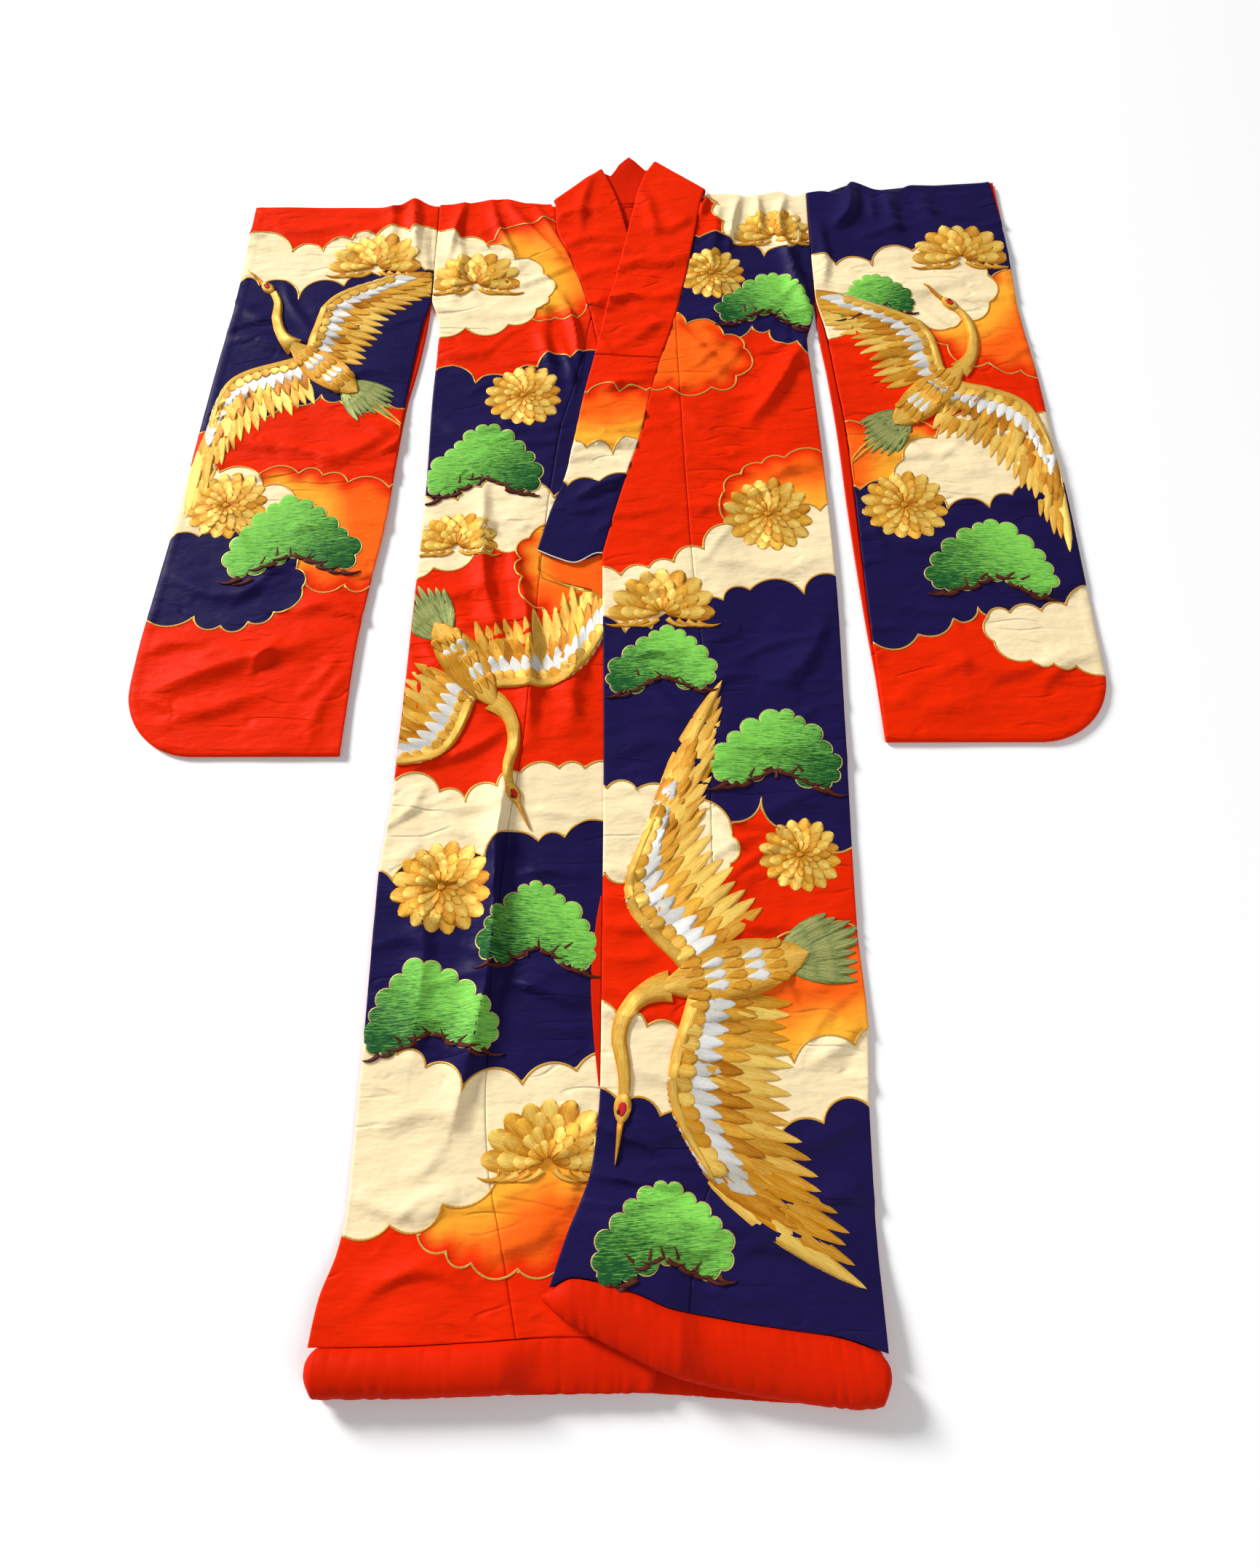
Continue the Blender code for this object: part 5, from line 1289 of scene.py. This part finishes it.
def pine(group, x, down, width, turn, seed, dark_side):
    rng = np.random.default_rng(900 + seed)
    high = width * rng.uniform(0.50, 0.58)
    lean = rng.uniform(-0.10, 0.10) * width
    c, s = cos(turn), sin(turn)

    def at(u, v):
        return np.stack((x + u * c + v * s, down - u * s + v * c), -1)

    loop = np.stack((CROWN[:, 0] * width + CROWN[:, 2] * lean, CROWN[:, 1] * high), -1)
    line = scallops(loop, width * 0.150, 0.44, 900 + seed, 0.28)
    centre = np.array((lean * 0.5, -0.42 * high))
    rings = np.append(np.linspace(0, 0.90, 13), (0.945, 0.980, 1.0))
    n, m = len(rings), len(line)
    u, v = (centre + rings[:, None, None] * (line - centre)).reshape(-1, 2).T
    plan = at(u, v)
    rise = np.repeat(0.0002 + 0.0016 * half_round((1 - rings) / 0.10), m)
    tone = 0.56 - dark_side * 0.66 * u / width - 0.42 * (v / high + 0.35)
    faces = []
    for low, flip in ((0, 1), (n * m, -1)):
        for i in range(n - 1):
            for k in range(m):
                a, b = low + i * m + k, low + i * m + (k + 1) % m
                faces.append(((a, b, b + m, a + m) if i else (a, b + m, a + m))[::flip])
    faces += [(a, b, b + n * m, a + n * m) for a, b in
              (((n - 1) * m + k, (n - 1) * m + (k + 1) % m) for k in range(m))]
    crown = np.column_stack((plan, rise, u, v, tone))
    pads.setdefault(("green", group), Threads()).add(crown, crown, tone, faces)
    edge = plan[-m:]
    lay_cord("pale", group, edge, on_cloth(group, *edge.T))
    for side in (-1, 1):
        for k in range(5):
            u = side * (0.02 + 0.095 * k)
            v = np.interp(abs(u), (0.0, 0.15, 0.34, 0.50), (-0.02, 0.15, 0.33, 0.26))
            root = at(u * width, (v + rng.uniform(-0.03, 0.05)) * high)
            heading = turn + (0 if side > 0 else pi) - side * rng.uniform(0.1, 0.5)
            leaf("brown", group, root, heading, width * rng.uniform(0.13, 0.21),
                 width * rng.uniform(0.036, 0.054), "twig", bend=side * rng.uniform(0.9, 1.7),
                 height=0.0012, level=0.0014)
    for k in range(5):
        root = (x + (-0.22 + 0.11 * k) * width, down + rng.uniform(0.02, 0.20) * high)
        leaf("brown", group, root, turn + rng.uniform(0.5, 2.6), width * 0.10, width * 0.034,
             "twig", height=0.0012, level=0.0012)


for row in (("left", 0.238, 0.262, 0.150, -0.06, 1, -1), ("left", 0.060, 0.935, 0.150, 0.05, 2, -1),
            ("left", 0.218, 1.078, 0.172, -0.04, 3, 1), ("left", 0.056, 1.704, 0.158, 0.06, 4, -1),
            ("right", -0.215, 0.590, 0.170, 0.05, 5, 1),
            ("right", -0.105, 1.330, 0.150, -0.08, 6, -1),
            ("right", -0.240, 1.440, 0.165, 0.06, 7, -1),
            ("left_sleeve", 0.555, 0.770, 0.180, -0.05, 8, -1),
            ("right_sleeve", -0.500, 0.730, 0.190, 0.07, 9, 1),
            ("left_sleeve", 0.420, 0.250, 0.125, 0.10, 10, 1)):
    pine(*row)


# Chrysanthemums: gilt petals round a small centre, the back row first. A fan is a flower
# seen from the side, on a few leaves.
FAN, WHOLE = (-0.15, pi + 0.30), (0.2, 2 * pi)      # first heading, opening


def chrysanthemum(group, x, down, radius, turn, opening):
    whole = opening == 2 * pi
    for row, (reach, wide) in enumerate(((1.0, 0.40), (0.76, 0.34), (0.52, 0.25), (0.30, 0.16))):
        count = 16 - row if whole else int(15 * opening / (2 * pi)) + 1 - row % 2
        for k in range(count):
            heading = turn + opening * (k + (0.5 * (row % 2) if whole else 0.5)) / count
            far = reach * radius * (1 + 0.06 * sin(7.3 * k + 2 * row))
            leaf("gold" if (k + row) % 3 else "amber_gold", group,
                 (x + 0.08 * radius * cos(heading), down - 0.08 * radius * sin(heading)),
                 heading, far, wide * radius, "petal", height=0.0009 - 0.0001 * row,
                 level=0.0007 * row, tone=0.60 + 0.3 * abs(sin(5.1 * k + row)), shaft=0.25,
                 rim=0.5, fade=0.8)
    if whole:
        leaf("amber_gold", group, (x - 0.09 * radius, down), 0.0, 0.18 * radius,
             0.18 * radius, level=0.0024)
        return
    for side in (-1, 1):
        for k in range(4):
            leaf("amber_gold" if k % 2 else "gold", group,
                 (x + side * (0.10 + 0.20 * k) * radius, down + (0.10 + 0.03 * k) * radius),
                 (0 if side > 0 else pi) - side * (0.45 - 0.1 * k), 0.50 * radius,
                 0.12 * radius, "twig", bend=side * 1.1, level=0.0010)


for *row, (turn, opening) in (
        ("left", 0.258, 0.098, 0.060, FAN), ("left", 0.150, 0.182, 0.052, WHOLE),
        ("left", 0.225, 0.660, 0.062, WHOLE), ("left", 0.062, 0.835, 0.072, FAN),
        ("left", 0.245, 1.205, 0.050, WHOLE),
        ("right", -0.248, 0.200, 0.070, FAN), ("right", -0.158, 0.432, 0.056, WHOLE),
        ("right", -0.250, 0.715, 0.058, FAN), ("right", -0.238, 1.250, 0.062, WHOLE),
        ("right", -0.085, 1.600, 0.074, FAN),
        ("left_sleeve", 0.575, 0.150, 0.074, FAN), ("left_sleeve", 0.435, 0.645, 0.060, WHOLE),
        ("right_sleeve", -0.420, 0.160, 0.072, FAN),
        ("right_sleeve", -0.610, 0.640, 0.058, WHOLE)):
    chrysanthemum(*row, turn, opening)


# Cranes in flight: each feather is a pad of gilt or silver thread, sewn from the wing's tip
# inwards and row upon row. The tail is green and gold silk, and the crown is red.
# A wing's rows, back row first: colour, count, first and last place along the bone, length
# at body and at tip, width, level
FEATHERS = (("gold", 19, 1.0, 0.04, 0.36, 0.62, 0.074, 0.0002),
            ("amber_gold", 15, 0.94, 0.04, 0.25, 0.38, 0.070, 0.0011),
            ("silver", 14, 0.90, 0.05, 0.17, 0.22, 0.062, 0.0020),
            ("gold", 13, 0.88, 0.06, 0.085, 0.11, 0.060, 0.0029))


def crane(group, x, down, size, turn, neck, wings, seed):
    """neck: turns of its curve; wings: (wrist, tip, heading at body, heading at tip)."""
    rng = np.random.default_rng(700 + seed)
    c, s = cos(turn), sin(turn)

    def at(u, v):
        """A place ahead of the body's middle by u and to its left by v."""
        u, v = u * size, v * size
        return np.array((x + u * c - v * s, down - (u * s + v * c)))

    def sewn(colour, root, heading, length, width, shape="feather", **kept):
        leaf(colour, group, root, heading, size * length, size * width, shape, **kept)

    for k in range(9):
        spread = (k - 4) / 4
        sewn("tail_green", at(-0.26, 0.045 * spread), turn + pi - 0.42 * spread,
             rng.uniform(0.26, 0.34) * (1 - 0.25 * abs(spread)), 0.050,
             bend=0.25 * spread, shaft=0.4, level=0.0003 + 0.0002 * (k % 3))
    for side in (-1, 1):
        sewn("gold", at(-0.42, 0.018 * side), turn + pi + 0.06 * side, 0.42, 0.020, "twig",
             bend=0.12 * side)
    for side, (wrist, tip, near_heading, far_heading) in zip((1, -1), wings):
        bone = bent([(0.10, 0.05 * side), wrist, tip], 12)
        far = distance_along(bone)
        far /= far[-1]
        for row, (colour, count, first, last, near, out, wide, level) in enumerate(FEATHERS):
            for k in range(count):
                t = mix(first, last, k / (count - 1))
                u, v = (np.interp(t, far, axis) for axis in bone.T)
                heading = mix(near_heading, far_heading, t ** 1.3)
                sewn(colour, at(u - 0.02 * cos(heading), v - 0.02 * sin(heading)),
                     turn + heading, mix(near, out, t ** 1.5) * rng.uniform(0.93, 1.05), wide,
                     "petal" if row == 3 else "feather", bend=0.22 * side * (t - 0.3),
                     shaft=0.35 if row < 2 else 0.15, tone=rng.uniform(0.2, 0.8),
                     height=0.0008, level=level + 0.00006 * (k % 5))
        pad("gold", group, np.array([at(*point) for point in bone]),
            np.maximum(size * 0.026 * (1 - far) ** 0.4, 0.0004), height=0.0016, level=0.0028)
    t = np.linspace(0, 1, 14)
    pad("gold", group, np.array([at(u, 0.0) for u in np.linspace(-0.34, 0.22, 14)]),
        np.maximum(size * 0.105 * np.sin(pi * t ** 0.9) ** 0.75, 0.0004), height=0.0020,
        level=0.0026, m=9)
    for row in range(5):
        for k in range(4 - row % 2):
            v = (k - (3 - row % 2) / 2) * 0.036
            sewn("silver" if row % 2 else "amber_gold", at(0.13 - 0.075 * row, v),
                 turn + pi - 2.2 * v, 0.085, 0.044, "petal", level=0.0042)
    t = np.linspace(0, 1, 15)
    headings = turn + np.interp(t, np.linspace(0, 1, len(neck)), neck)
    steps = size * 0.034 * np.stack((np.cos(headings), -np.sin(headings)), -1)
    line = at(0.18, 0.0) + np.vstack(((0.0, 0.0), np.cumsum(steps[:-1], axis=0)))
    pad("gold", group, line, size * np.interp(t, (0, 0.25, 0.8, 1), (0.058, 0.034, 0.024, 0.020)),
        height=0.0020, level=0.0024)
    head, heading = line[-1], headings[-1]
    ahead = size * np.array((cos(heading), -sin(heading)))
    side = size * np.array((sin(heading), cos(heading)))
    sewn("gold", head, heading, 0.105, 0.062, level=0.0030, height=0.0018)
    sewn("crown_red", head + 0.030 * ahead, heading, 0.050, 0.030, level=0.0048, height=0.0008)
    sewn("amber_gold", head + 0.088 * ahead, heading, 0.150, 0.024, "twig", level=0.0026)
    sewn("brown", head + 0.056 * ahead + 0.012 * side, heading, 0.018, 0.014, level=0.0054,
         height=0.0006)


for row in (
        ("right_sleeve", -0.500, 0.365, 0.28, 2.45, (0.0, -0.5, -0.9, -0.1),
         (((0.28, 0.40), (0.12, 0.72), 2.75, 2.15), ((0.26, -0.40), (0.10, -0.78), -2.9, -2.35)),
         1),
        ("left", 0.130, 1.368, 0.36, -2.90, (-0.1, 0.7, 1.6, 1.2),
         (((0.26, 0.36), (0.20, 0.68), 2.9, 2.3), ((0.24, -0.36), (0.04, -0.69), -2.8, -2.25)),
         2),
        ("right", -0.215, 0.930, 0.30, -0.95, (0.4, -0.4, -0.9, -0.2),
         (((0.28, 0.36), (0.14, 0.74), 2.9, 2.3), ((0.26, -0.36), (0.06, -0.72), -2.8, -2.2)),
         3),
        ("left_sleeve", 0.505, 0.425, 0.30, 0.75, (0.0, 0.6, 1.0, 1.6),
         (((0.26, 0.36), (0.10, 0.80), 2.8, 2.2), ((0.26, -0.38), (0.12, -0.70), -2.9, -2.3)),
         4)):
    crane(*row)


# Threads: flat silk and gilt paper wound on silk. Each pad is draped on its cloth, and the
# cords and their stitches are laid.
def thread(name, dark, light, pitch=0.0009, metallic=0.0, roughness=0.5, streaks=0.35):
    """Flat thread: fine ridges along it, and shades that run in and out of each other."""
    made = Recipe(name, Metallic=metallic, Specular_IOR_Level=0.12)
    along, across, tone = (made.attribute(key) for key in ("along", "across", "tone"))
    where = made.node("ShaderNodeCombineXYZ", {}, along, across, tone)
    strands = made.noise((45.0, 1.0 / pitch, 9.0), 2.0, where)
    flecks = made.noise((160.0, 0.55 / pitch, 5.0), 3.0, where)
    ridge = made.node("ShaderNodeMath", {"operation": "SINE"}, across * (2 * pi / pitch))
    shade = tone + (strands - 0.5) * (2.2 * streaks) + (flecks - 0.5) * streaks
    made.set(Base_Color=made.blend(shade.step(0.0, 1.0), dark, light),
             Roughness=roughness + 0.18 * (flecks - 0.5))
    made.relief(ridge * 0.25 + strands * 0.75, 0.0008, 0.6)
    return made


THREADS = {key: thread(*recipe) for key, *recipe in (
    ("gold", "gilt_thread", (0.60, 0.24, 0.007), (1.0, 0.72, 0.165), 0.0009, 0.20, 0.40, 0.4),
    ("amber_gold", "dark_gilt_thread", (0.44, 0.14, 0.004), (0.98, 0.53, 0.060), 0.0009, 0.20,
     0.40, 0.4),
    ("silver", "silver_thread", (0.60, 0.58, 0.53), (1.0, 0.99, 0.95), 0.0008, 0.2, 0.45),
    ("green", "green_silk", (0.006, 0.080, 0.018), (0.25, 0.69, 0.095), 0.0011, 0.0, 0.50, 0.75),
    ("tail_green", "tail_silk", (0.10, 0.18, 0.045), (0.62, 0.56, 0.20), 0.0010, 0.25, 0.45, 0.5),
    ("brown", "brown_silk", (0.055, 0.010, 0.006), (0.15, 0.030, 0.015)),
    ("crown_red", "crown_silk", (0.45, 0.01, 0.01), (0.75, 0.03, 0.02)),
    ("couching", "couching_silk", (0.60, 0.24, 0.03), (0.90, 0.48, 0.10), 0.0008, 0.0, 0.45),
    ("piping", "piping_silk", (0.72, 0.62, 0.46), (0.92, 0.86, 0.72), 0.0012),
    ("cord", "gilt_cord", (0.66, 0.36, 0.07), (1.0, 0.76, 0.30), 0.0012, 0.35, 0.38),
    ("pale", "pale_gilt_cord", (0.55, 0.42, 0.14), (0.98, 0.84, 0.46), 0.0012, 0.3, 0.40))}
for (colour, group), book in pads.items():
    x, down, rise, *values = np.vstack(book.parts).T
    low, high = limits(group, down)
    x = np.clip(x, low + PAD_MARGIN, high - PAD_MARGIN)
    make(f"{group}_{colour}_embroidery", place(x, down, top_of(group, x, down) + rise),
         book.faces, THREADS[colour], dict(zip(("along", "across", "tone"), values)), 75)
for colour, width, finish in (("gold", 0.0030, "cord"), ("pale", 0.0022, "pale")):
    cord.run(f"{colour}_couched_cord", cord_lines[colour], Width=width, Height=0.5 * width,
             Finish=THREADS[finish].material)

couching = Tree("couching_stitches", Spacing=0.0065, Finish=None)
path = couching.node("GeometryNodeMeshToCurve", {}, couching.input["Geometry"])
spots = couching.node("GeometryNodeCurveToPoints", {"mode": "LENGTH"}, path,
                      Length=couching.input["Spacing"])
tangent = Wire(couching, spots.socket.node.outputs["Tangent"])
across = couching.node("FunctionNodeAlignRotationToVector", {"axis": "X", "pivot_axis": "Z"},
                       Vector=tangent)
stitch = couching.node("GeometryNodeMeshIcoSphere", {}, 1.0, 1)
stitch = couching.node("GeometryNodeTransform", {}, stitch, Scale=(0.0005, 0.0021, 0.0010))
couching.finish(couching.node("GeometryNodeInstanceOnPoints", {}, spots, Instance=stitch,
                              Rotation=across))
couching.run("couching_stitches", cord_lines["gold"], Spacing=0.0065,
             Finish=THREADS["couching"].material)


# Piping: a narrow cord covered with pale silk cut on the bias, sewn into the lower end of
# the collar, where it shows as a round edge.
x, down = bent([(-0.127, 0.7235), (-0.096, 0.738), (-0.0685, 0.7455), (-0.041, 0.731),
                (-0.028, 0.729)], 12).T
height = top_of("left_collar", x, down) - 0.0004
cord.run("collar_piping", [place(x, down, height)], Width=0.0024, Height=0.0020,
         Finish=THREADS["piping"].material)


# The room: a plain pale floor under soft studio light, seen from above and a little below
# the hem.
CAMERA = (0.0367, -0.7559, 1.4244)
PITCH, YAW, ROLL = radians(69.078), radians(1.730), radians(-1.727)
FOCAL_PIXELS, FRAME_HEIGHT, SENSOR = 1499.9, 2156, 36.0

FLOOR_REACH, FLOOR_LEVEL = 30.0, -0.0006
KEY_LIGHT = "key_light", 1920.0, 2.6, (-8.0, 6.1, 4.9), (0.0, -0.8, 0.0)
FILL_LIGHT = "fill_light", 80.0, 3.0, (2.6, -3.2, 3.4), (0.0, -0.3, 0.0)
WORLD_LIGHT = 0.29

floor_mesh = bpy.data.meshes.new("floor")
floor_mesh.from_pydata([(x * FLOOR_REACH, y * FLOOR_REACH, FLOOR_LEVEL)
                        for x, y in ((-1, -1), (1, -1), (1, 1), (-1, 1))], [], [(0, 1, 2, 3)])
floor = linked("floor", floor_mesh)
paper = Recipe("floor_paper", Base_Color=(0.94, 0.94, 0.94), Roughness=0.9)
floor_mesh.materials.append(paper.material)

for name, power, size, at, aim in (KEY_LIGHT, FILL_LIGHT):
    light = bpy.data.lights.new(name, "AREA")
    light.energy, light.size = power, size
    lamp = linked(name, light)
    lamp.location = at
    lamp.rotation_euler = (Vector(aim) - Vector(at)).to_track_quat("-Z", "Y").to_euler()
world = bpy.data.worlds.new("studio")
world.use_nodes = True
background = world.node_tree.nodes["Background"].inputs
background["Color"].default_value = (1.0, 1.0, 1.0, 1.0)
background["Strength"].default_value = WORLD_LIGHT
bpy.context.scene.world = world
bpy.context.scene.view_settings.view_transform = "Standard"

ahead = Vector((-sin(YAW) * cos(PITCH), cos(YAW) * cos(PITCH), -sin(PITCH)))
right = Vector((cos(YAW), sin(YAW), 0.0))
up = right.cross(ahead)
side_axis = right * cos(ROLL) + up * sin(ROLL)
up_axis = up * cos(ROLL) - right * sin(ROLL)
camera_data = bpy.data.cameras.new("camera")
camera_data.sensor_fit, camera_data.sensor_height = "VERTICAL", SENSOR
camera_data.lens = FOCAL_PIXELS * SENSOR / FRAME_HEIGHT
camera = linked("camera", camera_data)
camera.matrix_world = Matrix.Translation(CAMERA) @ Matrix(
    (side_axis, up_axis, -ahead)).transposed().to_4x4()
bpy.context.scene.camera = camera
